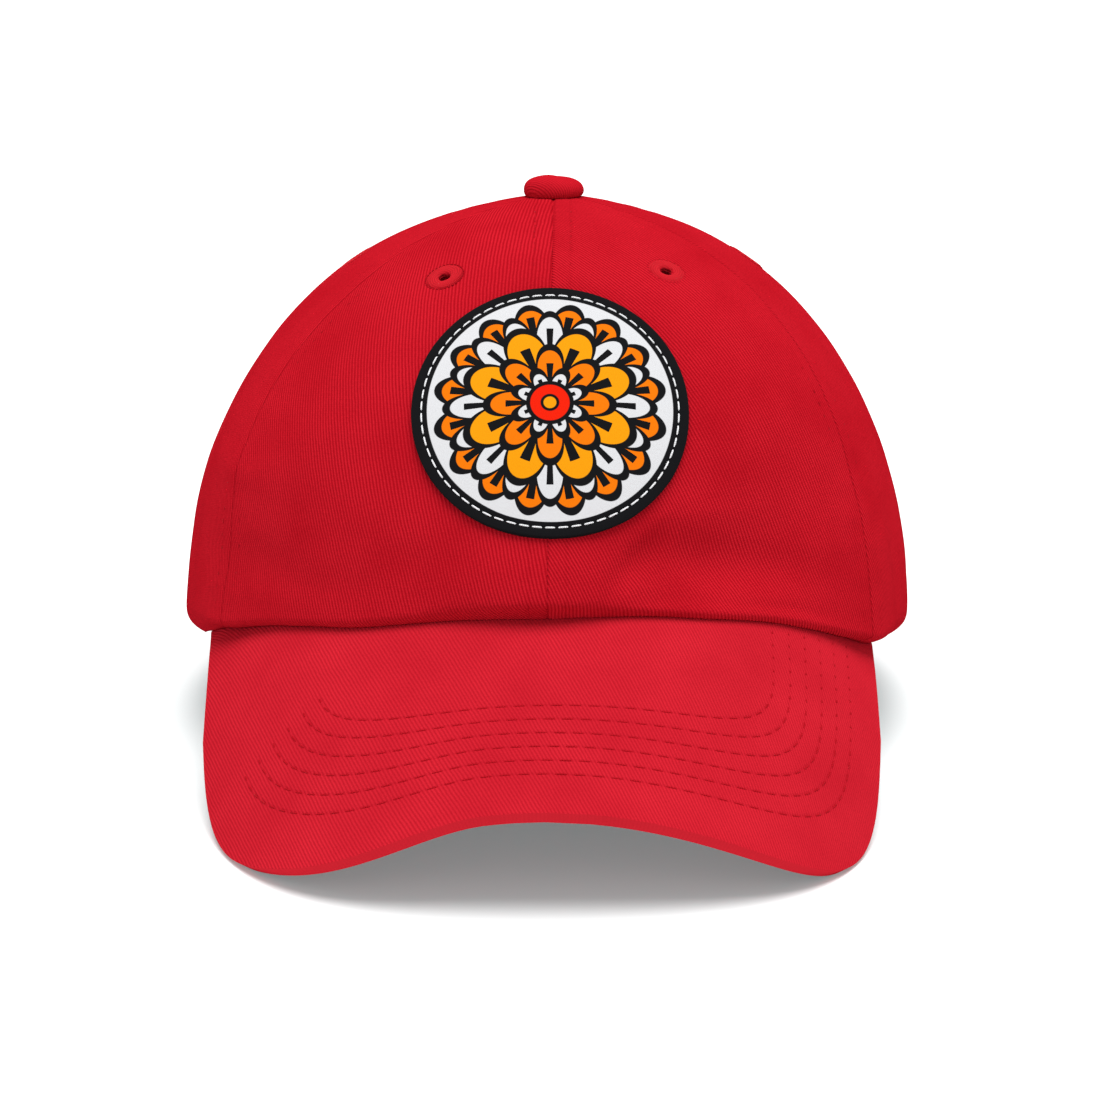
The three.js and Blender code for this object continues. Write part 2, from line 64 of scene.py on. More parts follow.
def srgb(code: str) -> tuple[float, float, float, float]:
    """Turn an sRGB hex colour into Blender's linear colour.

    Args:
        code: the colour as "#rrggbb".

    Returns:
        Linear red, green, blue and an alpha of 1.
    """
    parts = [int(code[start:start + 2], 16) / 255 for start in (1, 3, 5)]
    linear = [part / 12.92 if part <= 0.04045 else ((part + 0.055) / 1.055) ** 2.4 for part in parts]
    return linear[0], linear[1], linear[2], 1.0


def smooth(value: np.ndarray) -> np.ndarray:
    """Ease from 0 to 1 as the value goes from 0 to 1."""
    share = np.clip(value, 0.0, 1.0)
    return share * share * (3.0 - 2.0 * share)


def mix(low: np.ndarray, high: np.ndarray, share: np.ndarray) -> np.ndarray:
    """Blend from low to high by a share of 0 to 1."""
    return low + (high - low) * share


def bump_shape(distance: np.ndarray) -> np.ndarray:
    """A soft bump of height 1 that falls to 0 at a distance of 1."""
    return np.clip(1.0 - distance * distance, 0.0, None) ** 2


def ridge(distance: np.ndarray, width: float) -> np.ndarray:
    """A soft ridge of height 1 along distance 0, about two widths across."""
    return np.exp(-(distance / width) ** 2)


def unit(vectors: Points) -> Points:
    """Scale each row to length 1."""
    return vectors / np.maximum(np.linalg.norm(vectors, axis=-1, keepdims=True), 1e-12)


def wrapped(azimuth: np.ndarray) -> np.ndarray:
    """The azimuth from -180 to 180."""
    return np.mod(azimuth + 180.0, 360.0) - 180.0


def around_axis(azimuth: np.ndarray, radius: np.ndarray, z: np.ndarray) -> Points:
    """Points at an azimuth, a distance from the hat's axis and a height."""
    turn = np.radians(azimuth)
    return np.stack((radius * np.sin(turn), -radius * np.cos(turn), z), -1)


def read_rows(at: np.ndarray, way: np.ndarray, rows: Points) -> Points:
    """Read rows of numbers, given at places along a way, at other places along it."""
    return np.stack([np.interp(at, way, rows[:, axis]) for axis in range(rows.shape[1])], -1)


def way_along(points: Points) -> np.ndarray:
    """Distance from the first point to each point, along the line through them."""
    return np.concatenate(([0.0], np.cumsum(np.linalg.norm(np.diff(points, axis=0), axis=1))))


# The hat's form

@dataclass(frozen=True)
class Form:
    """One soft dent or swell of the crown, in degrees and millimetres.

    A slanting form climbs by slant millimetres for each degree round the crown.
    """

    azimuth: float
    height: float
    across: float
    up: float
    out: float
    slant: float = 0.0

    def lift(self, azimuth: np.ndarray, z: np.ndarray) -> np.ndarray:
        """How far the form moves the cloth out at each place.

        Args:
            azimuth: angle round the crown from the front in degrees, positive to the right.
            z: height in the hat's frame in mm.

        Returns:
            The lift in mm.
        """
        aside = wrapped(azimuth - self.azimuth)
        above = z - self.height - self.slant * aside
        return self.out * bump_shape(aside / self.across) * bump_shape(above / self.up)


MAIN_FORMS = (
    Form(-3, 20, 20, 16, 2.8),
    Form(27, 24, 21, 12, -2.4),
    Form(36, 26, 28, 33, -2.8),
    Form(42, 70, 36, 36, 2.4),
    Form(15, 26, 9, 6, -1.3, 1.1),
    Form(-50, 52, 37, 36, 3.1),
    Form(-60, 41, 22, 7, 0.5),
    Form(-100, 16, 26, 16, -0.8),
)


@dataclass(frozen=True)
class VisorForm:
    """One dent or swell of the visor, by its place and reach on the flat pattern in mm."""

    across: float
    reach: float
    wide: float
    deep: float
    up: float


VISOR_FORMS = (
    VisorForm(-85, -30, 40, 60, 2.2),
    VisorForm(44, 0, 48, 60, 2.2),
    VisorForm(-48, 62, 34, 40, -3.0),
    VisorForm(-97, -58, 12, 26, -1.7),
    VisorForm(93, -46, 14, 22, -1.1),
    VisorForm(-66, -20, 30, 26, 1.8),
    VisorForm(65, -20, 31, 28, 2.3),
    VisorForm(0, 0, 130, 30, 0.5),
)

# Slight pleats and ripples that the thin cloth shows on top of the main forms
SMALL_FORMS = (
    Form(72, 14, 3.5, 26, -0.5),
    Form(79, 12, 3.0, 30, 0.45),
    Form(85, 12, 3.0, 24, -0.5),
    Form(-76, 16, 3.5, 24, -0.4),
    Form(-20, 34, 18, 9, 0.4),
    Form(22, 36, 9, 7, 0.4),
    Form(-38, 22, 12, 7, 0.5),
    Form(-1, 12, 12, 14, 0.8),
    Form(17, 25, 12, 7, -0.7),
    Form(34, 21, 26, 8, -0.9, -0.25),
    Form(-50, 20, 26, 9, -0.8),
    Form(36, 84, 22, 16, 0.9),
    Form(-45, 74, 30, 18, 0.8),
    Form(140, 40, 16, 22, -0.8),
    Form(-135, 46, 18, 26, -0.9),
)


@dataclass(frozen=True)
class Panel:
    """One of the crown's six panels, between two seams."""

    name: str
    start: float
    end: float
    eyelet: float
    eyelet_height: float
    eyelet_number: int


PANELS = (
    Panel("back_left_panel", -180, -120, -149, 88.0, 5),
    Panel("side_left_panel", -120, -60, -90, 88.0, 6),
    Panel("front_left_panel", -60, 0, -32, 88.0, 1),
    Panel("front_right_panel", 0, 60, 34.5, 89.2, 2),
    Panel("side_right_panel", 60, 120, 91, 88.0, 3),
    Panel("back_right_panel", 120, 180, 149, 88.0, 4),
)


@dataclass(frozen=True)
class HatForm:
    """The surfaces of the crown and visor, worked out from the hat's driving sizes in mm."""

    half_width: float = 91.9
    front_depth: float = 93.3
    rear_depth: float = 101.0
    height: float = 102.5
    peak: float = 1.3
    fullness: float = 2.09
    rear_fullness: float = 1.95
    lean: float = 1.6
    panel_hollow: float = 0.6
    top_hole: float = 3.0
    wall: float = 1.2
    roll: float = 5.0
    roll_from: float = 38.0
    roll_over: float = 36.0
    front_roll: float = 1.3
    rear_roll: float = 2.5
    roll_height: float = 3.4
    side_roll_height: float = 2.2
    right_side_over: float = 16.0
    right_centre: float = 2.0
    left_side_over: float = 32.0
    left_centre: float = 6.0
    corner_roll_height: float = 8.0
    corner_from: float = 62.0
    corner_over: float = 16.0
    round_from: float = 66.0
    round_over: float = 10.0
    flare: float = 0.9
    flare_height: float = 16.0
    flare_to: float = 78.0
    flare_over: float = 20.0
    peak_width: float = 14.0
    corner_share: float = 0.8
    held_height: float = 4.5
    above_visor: float = 0.45
    side: float = -7.2
    left_side_from: float = 75.0
    right_side_from: float = 70.0
    side_to: float = 88.0
    rear_from: float = 96.0
    rear_to: float = 150.0
    pitch: float = 30.0
    bend: float = 107.0
    front_bend: float = 86.6
    reach: float = 67.0
    skew: float = 0.038
    visor_left: float = 95.0
    visor_right: float = 92.6
    left_corner: float = 2.9
    right_corner: float = 3.5
    arch_height: float = 10.8
    wing_drop: float = 5.5
    wing_reach: float = 47.0
    left_temple: float = 76.0
    right_temple: float = 68.0
    under_hem: float = 1.4
    visor_shift: float = -0.5
    tilt: float = 8.1
    forward: float = 25.3
    lift: float = 27.4

    def seam_front(self) -> float:
        """The y of the crown's lower edge at the front seam."""
        return -(self.front_depth - self.front_roll)

    def to_world(self, points: Points) -> Points:
        """Turn and move points from the hat's frame to where it rests, in metres.

        Args:
            points: points in the hat's frame in mm.

        Returns:
            The points in metres.
        """
        cosine, sine = math.cos(math.radians(self.tilt)), math.sin(math.radians(self.tilt))
        x, y, z = points[..., 0], points[..., 1], points[..., 2]
        turned = (x, y * cosine + z * sine + self.forward, z * cosine - y * sine + self.lift)
        return np.stack(turned, -1) * MM

    def rest_height(self, y: np.ndarray) -> np.ndarray:
        """Height of the floor in the hat's frame."""
        tilt = math.radians(self.tilt)
        return (y * math.sin(tilt) - self.lift) / math.cos(tilt)

    def crown_reach(self, azimuth: np.ndarray) -> np.ndarray:
        """Half the crown's width towards an azimuth, at its widest.

        Args:
            azimuth: angle round the crown from the front in degrees, positive to the right.

        Returns:
            The reach in mm.
        """
        sine, cosine = np.sin(np.radians(azimuth)), np.cos(np.radians(azimuth))
        depth = np.where(cosine > 0, self.front_depth, self.rear_depth)
        return 1.0 / np.hypot(sine / self.half_width, cosine / depth)

    def hem_roll(self, azimuth: np.ndarray) -> np.ndarray:
        """How far the lower edge rolls in.

        Args:
            azimuth: angle round the crown from the front in degrees, positive to the right.

        Returns:
            The roll in mm.
        """
        far = np.abs(wrapped(azimuth))
        side = mix(self.front_roll, self.roll, smooth((far - self.roll_from) / self.roll_over))
        share = smooth((far - self.side_to) / (self.rear_to - self.side_to))
        return mix(side, self.rear_roll, share)

    def hem_point(self, azimuth: np.ndarray, inset: float = 0.0) -> tuple[np.ndarray, np.ndarray]:
        """Return the x and y of the lower edge, moved in by inset."""
        reach = self.crown_reach(azimuth) - self.hem_roll(azimuth) - inset
        return reach * np.sin(np.radians(azimuth)), -reach * np.cos(np.radians(azimuth))

    def visor_line(self, x: np.ndarray, y: np.ndarray) -> np.ndarray:
        """Height of the visor's top surface at or behind the front line of its seam.

        Args:
            x: place to the right in mm.
            y: place to the back in mm.

        Returns:
            The height in mm.
        """
        pitch = math.radians(self.pitch)
        off = x - self.visor_shift
        sag = self.bend - np.sqrt(self.bend ** 2 - off ** 2)
        behind = (y - self.seam_front() - sag * math.sin(pitch)) / math.cos(pitch)
        drop = self.wing_drop * (np.clip(behind, 0, None) / self.wing_reach) ** 2
        raised = self.visor_swell(self.bend * np.arcsin(off / self.bend), -behind)
        return self.arch_height + behind * math.sin(pitch) - sag * math.cos(pitch) - drop + raised

    @staticmethod
    def visor_swell(across: np.ndarray, reach: np.ndarray) -> np.ndarray:
        """How far the visor's own dents and swells lift its top surface.

        Args:
            across: place across the flat pattern in mm.
            reach: place along the flat pattern, towards the front, in mm.

        Returns:
            The lift in mm.
        """
        total = np.zeros_like(across)
        for form in VISOR_FORMS:
            aside, ahead = (across - form.across) / form.wide, (reach - form.reach) / form.deep
            total = total + form.up * bump_shape(aside) * bump_shape(ahead)
        return total

    def hem_height(self, azimuth: np.ndarray) -> np.ndarray:
        """Height of the lower edge: over the visor in front, on the floor at the rear.

        Args:
            azimuth: angle round the crown from the front in degrees, positive to the right.

        Returns:
            The height in mm.
        """
        far = np.abs(wrapped(azimuth))
        _, own_y = self.hem_point(azimuth)
        x, y = self.hem_point(np.minimum(far, self.side_to) * np.sign(wrapped(azimuth)))
        over_visor = self.visor_line(x, y) + self.above_visor
        side_from = np.where(wrapped(azimuth) < 0, self.left_side_from, self.right_side_from)
        to_side = smooth((far - side_from) / (self.side_to - side_from))
        to_rear = smooth((far - self.rear_from) / (self.rear_to - self.rear_from))
        return mix(over_visor, mix(self.side, self.rest_height(own_y), to_rear), to_side)

    def crown_radius(self, azimuth: np.ndarray, z: np.ndarray) -> np.ndarray:
        """Distance of the crown's surface from its axis.

        Args:
            azimuth: angle round the crown from the front in degrees, positive to the right.
            z: height in the hat's frame in mm.

        Returns:
            The distance in mm.
        """
        cosine = np.cos(np.radians(azimuth))
        power = mix(self.fullness, self.rear_fullness, np.clip(-cosine, 0, None))
        up = np.clip(z / self.height, 0, 1)
        dome = np.clip(1.0 - up ** power, 0, None) ** (1.0 / power)
        above = z - self.hem_height(azimuth)
        rolled = self._rolled_in(azimuth, above)
        hollow = self.panel_hollow * (1.0 - np.cos(np.radians(len(PANELS) * azimuth))) / 2.0
        pressed = -hollow * np.sin(np.pi * np.clip(above / self.height, 0, 1))
        free = smooth(above / self.held_height)
        for form in MAIN_FORMS + SMALL_FORMS:
            pressed = pressed + form.lift(azimuth, z) * free
        return self.crown_reach(azimuth) * dome - rolled + pressed

    def _rolled_in(self, azimuth: np.ndarray, above: np.ndarray) -> np.ndarray:
        """How far the cloth near the hem rolls in, less how far it flares, above the hem.

        Args:
            azimuth: angle round the crown from the front in degrees, positive to the right.
            above: height above the hem in mm.

        Returns:
            The distance in mm.
        """
        turn, far = wrapped(azimuth), np.abs(wrapped(azimuth))
        aside = np.where(turn > 0, smooth((far - self.right_centre) / self.right_side_over),
                         smooth((far - self.left_centre) / self.left_side_over))
        corner = smooth((far - self.corner_from) / self.corner_over)
        tall = mix(self.roll_height, self.side_roll_height, aside)
        tall = mix(tall, self.corner_roll_height, corner)
        power = mix(2.0, 3.0, smooth((far - self.round_from) / self.round_over))
        flare = self.flare * smooth((self.flare_to - far) / self.flare_over)
        rolled = (self.hem_roll(azimuth) + flare) * np.clip(1.0 - above / tall, 0, None) ** power
        return rolled - flare * np.clip(1.0 - above / self.flare_height, 0, None) ** 2

    def leaning(self, z: np.ndarray) -> np.ndarray:
        """How far the crown leans to one side at a height."""
        return self.lean * np.clip(z / self.height, 0, 1) ** 2

    def crown_point(self, azimuth: np.ndarray, z: np.ndarray) -> Points:
        """Points of the crown's outer surface.

        Args:
            azimuth: angle round the crown from the front in degrees, positive to the right.
            z: height in the hat's frame in mm.

        Returns:
            The points in mm.
        """
        radius = self.crown_radius(azimuth, z)
        points = around_axis(azimuth, radius, z + self.peaked(radius))
        points[..., 0] += self.leaning(z)
        return points

    def peaked(self, radius: np.ndarray) -> np.ndarray:
        """How far the seams draw the crown up under the button, by the distance from its axis."""
        return self.peak * ridge(radius, self.peak_width)

    def crown_normal(self, azimuth: np.ndarray, z: np.ndarray) -> Points:
        """Outward directions of the crown's surface.

        Args:
            azimuth: angle round the crown from the front in degrees, positive to the right.
            z: height in the hat's frame in mm.

        Returns:
            The directions, each of length 1.
        """
        step = 0.4
        around = self.crown_point(azimuth + step, z) - self.crown_point(azimuth - step, z)
        upwards = self.crown_point(azimuth, z + step / 2) - self.crown_point(azimuth, z - step / 2)
        return unit(np.cross(around, upwards))

    def crown_height(self, azimuth: np.ndarray, share: np.ndarray) -> np.ndarray:
        """Height at a share of the way from the lower edge to the hole under the button.

        Args:
            azimuth: angle round the crown from the front in degrees, positive to the right.
            share: share of the way up, from 0 to 1.

        Returns:
            The height in mm.
        """
        low = np.arcsin(self.hem_height(azimuth) / self.height)
        high = np.arccos(self.top_hole / self.crown_reach(azimuth))
        return self.height * np.sin(mix(low, high, share))

    def visor_point(self, across: np.ndarray, reach: np.ndarray) -> Points:
        """Points of the visor's top surface from their place on its flat pattern.

        Args:
            across: place across the flat pattern in mm.
            reach: place along the flat pattern, towards the front, in mm.

        Returns:
            The points in mm.
        """
        pitch = math.radians(self.pitch)
        radius = mix(self.bend, self.front_bend, np.clip(reach, 0, None) / self.reach)
        sag = radius * (1.0 - np.cos(across / radius))
        drop = self.wing_drop * (np.clip(-reach, 0, None) / self.wing_reach) ** 2
        return np.stack((
            self.visor_shift + radius * np.sin(across / radius),
            self.seam_front() - reach * math.cos(pitch) + sag * math.sin(pitch),
            self.arch_height - reach * math.sin(pitch) - sag * math.cos(pitch) - drop
            + self.visor_swell(across, reach),
        ), -1)

    def visor_flat(self, x: np.ndarray, y: np.ndarray) -> tuple[np.ndarray, np.ndarray]:
        """The flat pattern's place of a point under the lower edge.

        Args:
            x: place to the right in mm.
            y: place to the back in mm.

        Returns:
            The places across and along the pattern in mm.
        """
        pitch = math.radians(self.pitch)
        across = self.bend * np.arcsin((x - self.visor_shift) / self.bend)
        sag = self.bend * (1.0 - np.cos(across / self.bend))
        return across, (self.seam_front() + sag * math.sin(pitch) - y) / math.cos(pitch)

    def visor_edge(self, along: np.ndarray) -> tuple[np.ndarray, np.ndarray]:
        """The visor's outer edge on the flat pattern, from the left temple to the right one.

        Args:
            along: -1 at the left temple, 1 at the right one.

        Returns:
            How far across and how far forward the edge lies.
        """
        far, side = np.abs(along), np.sign(along)
        turn = np.clip(far / self.corner_share, 0, 1) * np.pi / 2
        power = 2.0 / np.where(along < 0, self.left_corner, self.right_corner)
        half = np.where(along < 0, self.visor_left, self.visor_right)
        across = half * np.sin(turn) ** power
        reach = self.reach * (1.0 - self.skew * along) * np.clip(np.cos(turn), 0, None) ** power
        back = np.clip((far - self.corner_share) / (1.0 - self.corner_share), 0, 1)
        temple = np.where(along < 0, self.left_temple, self.right_temple)
        temple_across, temple_reach = self.visor_flat(*self.hem_point(side * temple))
        across = np.where(far > self.corner_share,
                          mix(half, np.abs(temple_across), back ** 3), across)
        reach = np.where(far > self.corner_share, temple_reach * back, reach)
        return side * across, reach

    def land(self, points: Points, direction: Points) -> tuple[np.ndarray, np.ndarray]:
        """Find where lines along a direction meet the crown.

        Args:
            points: one start for each line.
            direction: the lines' shared direction.

        Returns:
            The azimuths and heights of the places.
        """
        def outside(reach: np.ndarray) -> tuple[np.ndarray, np.ndarray, np.ndarray]:
            """How far each line's point lies outside the crown, with its azimuth and height.

            Args:
                reach: place along the flat pattern, towards the front, in mm.

            Returns:
                The distances in mm, the azimuths in degrees and the heights in mm.
            """
            at = points + direction * reach[:, None]
            aside = at[:, 0] - self.leaning(at[:, 2])
            azimuth = np.degrees(np.arctan2(aside, -at[:, 1]))
            gap = np.hypot(aside, at[:, 1]) - self.crown_radius(azimuth, at[:, 2])
            return gap, azimuth, at[:, 2]

        before, reach = np.zeros(len(points)), np.full(len(points), -4.0)
        gap_before = outside(before)[0]
        for _ in range(14):
            gap = outside(reach)[0]
            slope = gap - gap_before
            slope = np.where(np.abs(slope) < 1e-9, 1e-9, slope)
            step = np.where(np.abs(gap) < 1e-7, 0.0, gap * (reach - before) / slope)
            before, gap_before, reach = reach, gap, reach - step
        _, azimuth, z = outside(reach)
        return azimuth, z


HAT = HatForm()


# Building meshes

def finish_object(name: str, bm: bmesh.types.BMesh, materials: list[Material],
                  smooth_faces: bool = True) -> bpy.types.Object:
    """Make a linked object of a bmesh and free the bmesh.

    Args:
        name: the object's name.
        bm: the shape, in metres where it stands.
        materials: the object's materials, in slot order.
        smooth_faces: whether faces are shaded smooth.

    Returns:
        The new object, at the origin.
    """
    mesh = bpy.data.meshes.new(name)
    bm.to_mesh(mesh)
    bm.free()
    for material in materials:
        mesh.materials.append(material)
    mesh.polygons.foreach_set("use_smooth", [smooth_faces] * len(mesh.polygons))
    piece = bpy.data.objects.new(name, mesh)
    bpy.context.scene.collection.objects.link(piece)
    return piece


def set_uv(mesh: bpy.types.Mesh, layer: str, values: np.ndarray) -> None:
    """Write one UV map from a value for each vertex.

    Args:
        mesh: the mesh that gets the map.
        layer: the map's name.
        values: an array of one u and v for each vertex.
    """
    uv_map = mesh.uv_layers.get(layer) or mesh.uv_layers.new(name=layer)
    corners = np.empty(len(mesh.loops), dtype=np.int32)
    mesh.loops.foreach_get("vertex_index", corners)
    uv_map.data.foreach_set("uv", values[corners].astype(np.float32).ravel())


def grid_shares(bm: bmesh.types.BMesh) -> tuple[np.ndarray, np.ndarray]:
    """The u and v from 0 to 1 of a fresh grid's vertices."""
    flat = np.array([vert.co[:] for vert in bm.verts])
    return flat[:, 0] + 0.5, flat[:, 1] + 0.5


def move_verts(bm: bmesh.types.BMesh, places: Points) -> None:
    """Set each vertex's place, in metres."""
    for vert, place in zip(bm.verts, places):
        vert.co = place


def cloth_grid(name: str, columns: int, rows: int, surface: Surface, material: Material,
               drop: Callable[[Points], np.ndarray] | None = None) -> bpy.types.Object:
    """Make a single-layer sheet from a grid laid on a surface.

    Args:
        name: the object's name.
        columns: number of faces across.
        rows: number of faces up.
        surface: takes u and v and returns points in the hat's frame, the cloth map's u and v in
            mm, and the seam map's two distances in mm.
        material: the sheet's material.
        drop: takes the points in the hat's frame and says which faces' corners are left out.

    Returns:
        The new object, with the UV maps Cloth and Seam.
    """
    bm = bmesh.new()
    bmesh.ops.create_grid(bm, x_segments=columns, y_segments=rows, size=0.5, calc_uvs=False)
    bm.verts.index_update()
    u, v = grid_shares(bm)
    points, cloth, seam = surface(u, v)
    move_verts(bm, HAT.to_world(points))
    tag = bm.verts.layers.int.new("source")
    for vert in bm.verts:
        vert[tag] = vert.index
    if drop is not None:
        gone = drop(points)
        faces = [face for face in bm.faces if all(gone[vert.index] for vert in face.verts)]
        bmesh.ops.delete(bm, geom=faces, context="FACES")
    kept = np.array([vert[tag] for vert in bm.verts])
    bm.verts.layers.int.remove(tag)
    piece = finish_object(name, bm, [material])
    set_uv(piece.data, "Cloth", cloth[kept])
    set_uv(piece.data, "Seam", seam[kept])
    return piece


def thicken(piece: bpy.types.Object, wall_mm: float, round_mm: float = 0.0,
            edge: Material | None = None) -> None:
    """Give a sheet its thickness on the inner side, and round its rim.

    Args:
        piece: the sheet.
        wall_mm: the wall's thickness.
        round_mm: the rim's rounding, or 0 for none.
        edge: the rim's material where it differs from the faces'.
    """
    solid = piece.modifiers.new("Wall", "SOLIDIFY")
    solid.thickness = wall_mm * MM
    solid.offset = -1.0
    solid.use_even_offset = False
    if edge is not None:
        piece.data.materials.append(edge)
        solid.material_offset_rim = 1
    if round_mm > 0:
        rim = piece.modifiers.new("Rim", "BEVEL")
        rim.width = round_mm * MM
        rim.segments = 3
        rim.limit_method = "ANGLE"
        rim.angle_limit = math.radians(50)


def spun(profile: list[tuple[float, float]], steps: int) -> bmesh.types.BMesh:
    """Spin a profile once round +Z into a closed skin that faces out.

    Args:
        profile: radii and heights from the axis back to the axis.
        steps: number of faces round the axis.

    Returns:
        The skin, closed at its poles.
    """
    bm = bmesh.new()
    verts = [bm.verts.new((r, 0, z)) for r, z in profile]
    edges = [bm.edges.new(pair) for pair in zip(verts, verts[1:])]
    bmesh.ops.spin(bm, geom=verts + edges, cent=(0, 0, 0), axis=(0, 0, 1),
                   angle=2 * math.pi, steps=steps, use_merge=True)
    bmesh.ops.remove_doubles(bm, verts=bm.verts, dist=1e-4)
    bmesh.ops.recalc_face_normals(bm, faces=bm.faces)
    return bm


def stitch_template(thickness: float) -> tuple[Points, list[tuple[int, ...]]]:
    """One stitch of length 1 along X, a rod whose ends dip into the cloth.

    Args:
        thickness: the thread's diameter as a share of the stitch's length.

    Returns:
        The vertices and faces.
    """
    bm = bmesh.new()
    bmesh.ops.create_uvsphere(bm, u_segments=6, v_segments=8, radius=0.5)
    bmesh.ops.rotate(bm, verts=bm.verts, cent=(0, 0, 0),
                     matrix=Vector((0, 0, 1)).rotation_difference(Vector((1, 0, 0))).to_matrix())
    for vert in bm.verts:
        along = abs(vert.co.x) * 2
        full = (1 - along ** 6) ** 0.5 if along < 1 else 0.0
        girth = math.hypot(vert.co.y, vert.co.z)
        scale = thickness * 0.5 * full / girth if girth > 1e-6 else 0.0
        vert.co.y *= scale
        vert.co.z = vert.co.z * scale - thickness * 0.8 * along ** 6
    bm.verts.index_update()
    points = np.array([vert.co[:] for vert in bm.verts])
    faces = [tuple(vert.index for vert in face.verts) for face in bm.faces]
    bm.free()
    return points, faces


@dataclass
class StitchRun:
    """Where the stitches of one piece lie: centres, directions, normals and lengths in mm."""

    centres: list[Points]
    along: list[Points]
    normals: list[Points]
    lengths: list[float]
    template_mm = 2.3

    @classmethod
    def empty(cls) -> "StitchRun":
        """A run with no stitch yet."""
        return cls([], [], [], [])

    def add_one(self, centre: Points, along: Points, normal: Points, length: float) -> None:
        """Lay one stitch by its centre, direction, normal and length.

        Args:
            centre: the stitch's centre.
            along: its direction.
            normal: the outward direction of the cloth there.
            length: its length in mm.
        """
        self.centres.append(centre)
        self.along.append(along)
        self.normals.append(normal)
        self.lengths.append(length)

    def add_line(self, points: Points, normals: Points, pitch: float = 3.0,
                 share: float | np.ndarray = 0.78) -> None:
        """Lay stitches along a line in the hat's frame.

        Args:
            points: places along the line.
            normals: the surface's direction at each place.
            pitch: length of one stitch with its gap.
            share: the part of the pitch that shows as thread, in all or at each place.
        """
        way = way_along(points)
        count = max(int(way[-1] / pitch), 1)
        middle = (np.arange(count) + 0.5) * way[-1] / count
        ahead = read_rows(middle + 0.4, way, points) - read_rows(middle - 0.4, way, points)
        self.centres.extend(read_rows(middle, way, points))
        self.along.extend(unit(ahead))
        self.normals.extend(unit(read_rows(middle, way, normals)))
        shown = np.interp(middle, way, np.broadcast_to(share, way.shape))
        self.lengths.extend(way[-1] / count * shown)

    def build(self, name: str, thread_mm: float, raise_mm: float,
              material: Material) -> bpy.types.Object:
        """Make all the stitches as one joined mesh.

        Args:
            name: the object's name.
            thread_mm: the thread's diameter.
            raise_mm: how far the thread's middle stands over the surface.
            material: the thread's material.

        Returns:
            The new object.
        """
        template, faces = stitch_template(thread_mm / self.template_mm)
        count = len(self.centres)
        ahead = np.array(self.along)
        up = np.array(self.normals)
        side = unit(np.cross(up, ahead))
        up = np.cross(ahead, side)
        lengths = np.array(self.lengths)[:, None, None]
        girth = template * self.template_mm
        places = np.array(self.centres)[:, None, :] + up[:, None, :] * raise_mm
        places = places + template[:, 0:1] * lengths * ahead[:, None, :]
        places = places + girth[:, 1:2] * side[:, None, :] + girth[:, 2:3] * up[:, None, :]
        world = HAT.to_world(places.reshape(-1, 3))
        shift = len(template)
        every = [tuple(index + shift * stitch for index in face)
                 for stitch in range(count) for face in faces]
        mesh = bpy.data.meshes.new(name)
        mesh.from_pydata(world.tolist(), [], every)
        mesh.materials.append(material)
        mesh.polygons.foreach_set("use_smooth", [True] * len(mesh.polygons))
        along_map = np.tile(np.stack((template[:, 0] * 3.0, template[:, 1]), -1), (count, 1))
        along_map[:, 1] += np.repeat(np.arange(count), shift) * 0.37
        set_uv(mesh, "Cloth", along_map)
        piece = bpy.data.objects.new(name, mesh)
        bpy.context.scene.collection.objects.link(piece)
        return piece


# Materials

Adder = Callable[..., bpy.types.Node]


def set_inputs(material: Material, node: bpy.types.Node, inputs: dict | tuple) -> None:
    """Set or link the inputs of a node.

    Args:
        material: the material that holds the node.
        node: the node.
        inputs: for each input in order, or by its name or index, a value, another node's output,
            or another node, whose first output is meant.
    """
    for key, value in (inputs if isinstance(inputs, dict) else dict(enumerate(inputs))).items():
        source = value.outputs[0] if isinstance(value, bpy.types.Node) else value
        if isinstance(source, Socket):
            material.node_tree.links.new(source, node.inputs[key])
        else:
            node.inputs[key].default_value = source


def add_node(material: Material, kind: str, inputs: dict | tuple = (),
             **settings: object) -> bpy.types.Node:
    """Add one node with its settings and inputs.

    Args:
        material: the material whose tree gets the node.
        kind: the node's type name after "ShaderNode".
        inputs: its inputs, as set_inputs takes them.
        settings: attributes to set on the node.

    Returns:
        The new node.
    """
    node = material.node_tree.nodes.new("ShaderNode" + kind)
    for key, value in settings.items():
        setattr(node, key, value)
    set_inputs(material, node, inputs)
    return node


def new_material(name: str) -> tuple[Material, bpy.types.Node, Adder]:
    """Make a material that uses nodes.

    Args:
        name: the material's name.

    Returns:
        The material, its Principled shader, and add_node for this material.
    """
    material = bpy.data.materials.new(name)
    material.use_nodes = True
    return material, material.node_tree.nodes["Principled BSDF"], partial(add_node, material)


class Weave(Enum):
    """How a cloth is woven."""

    TWILL = "twill"
    PLAIN = "plain"


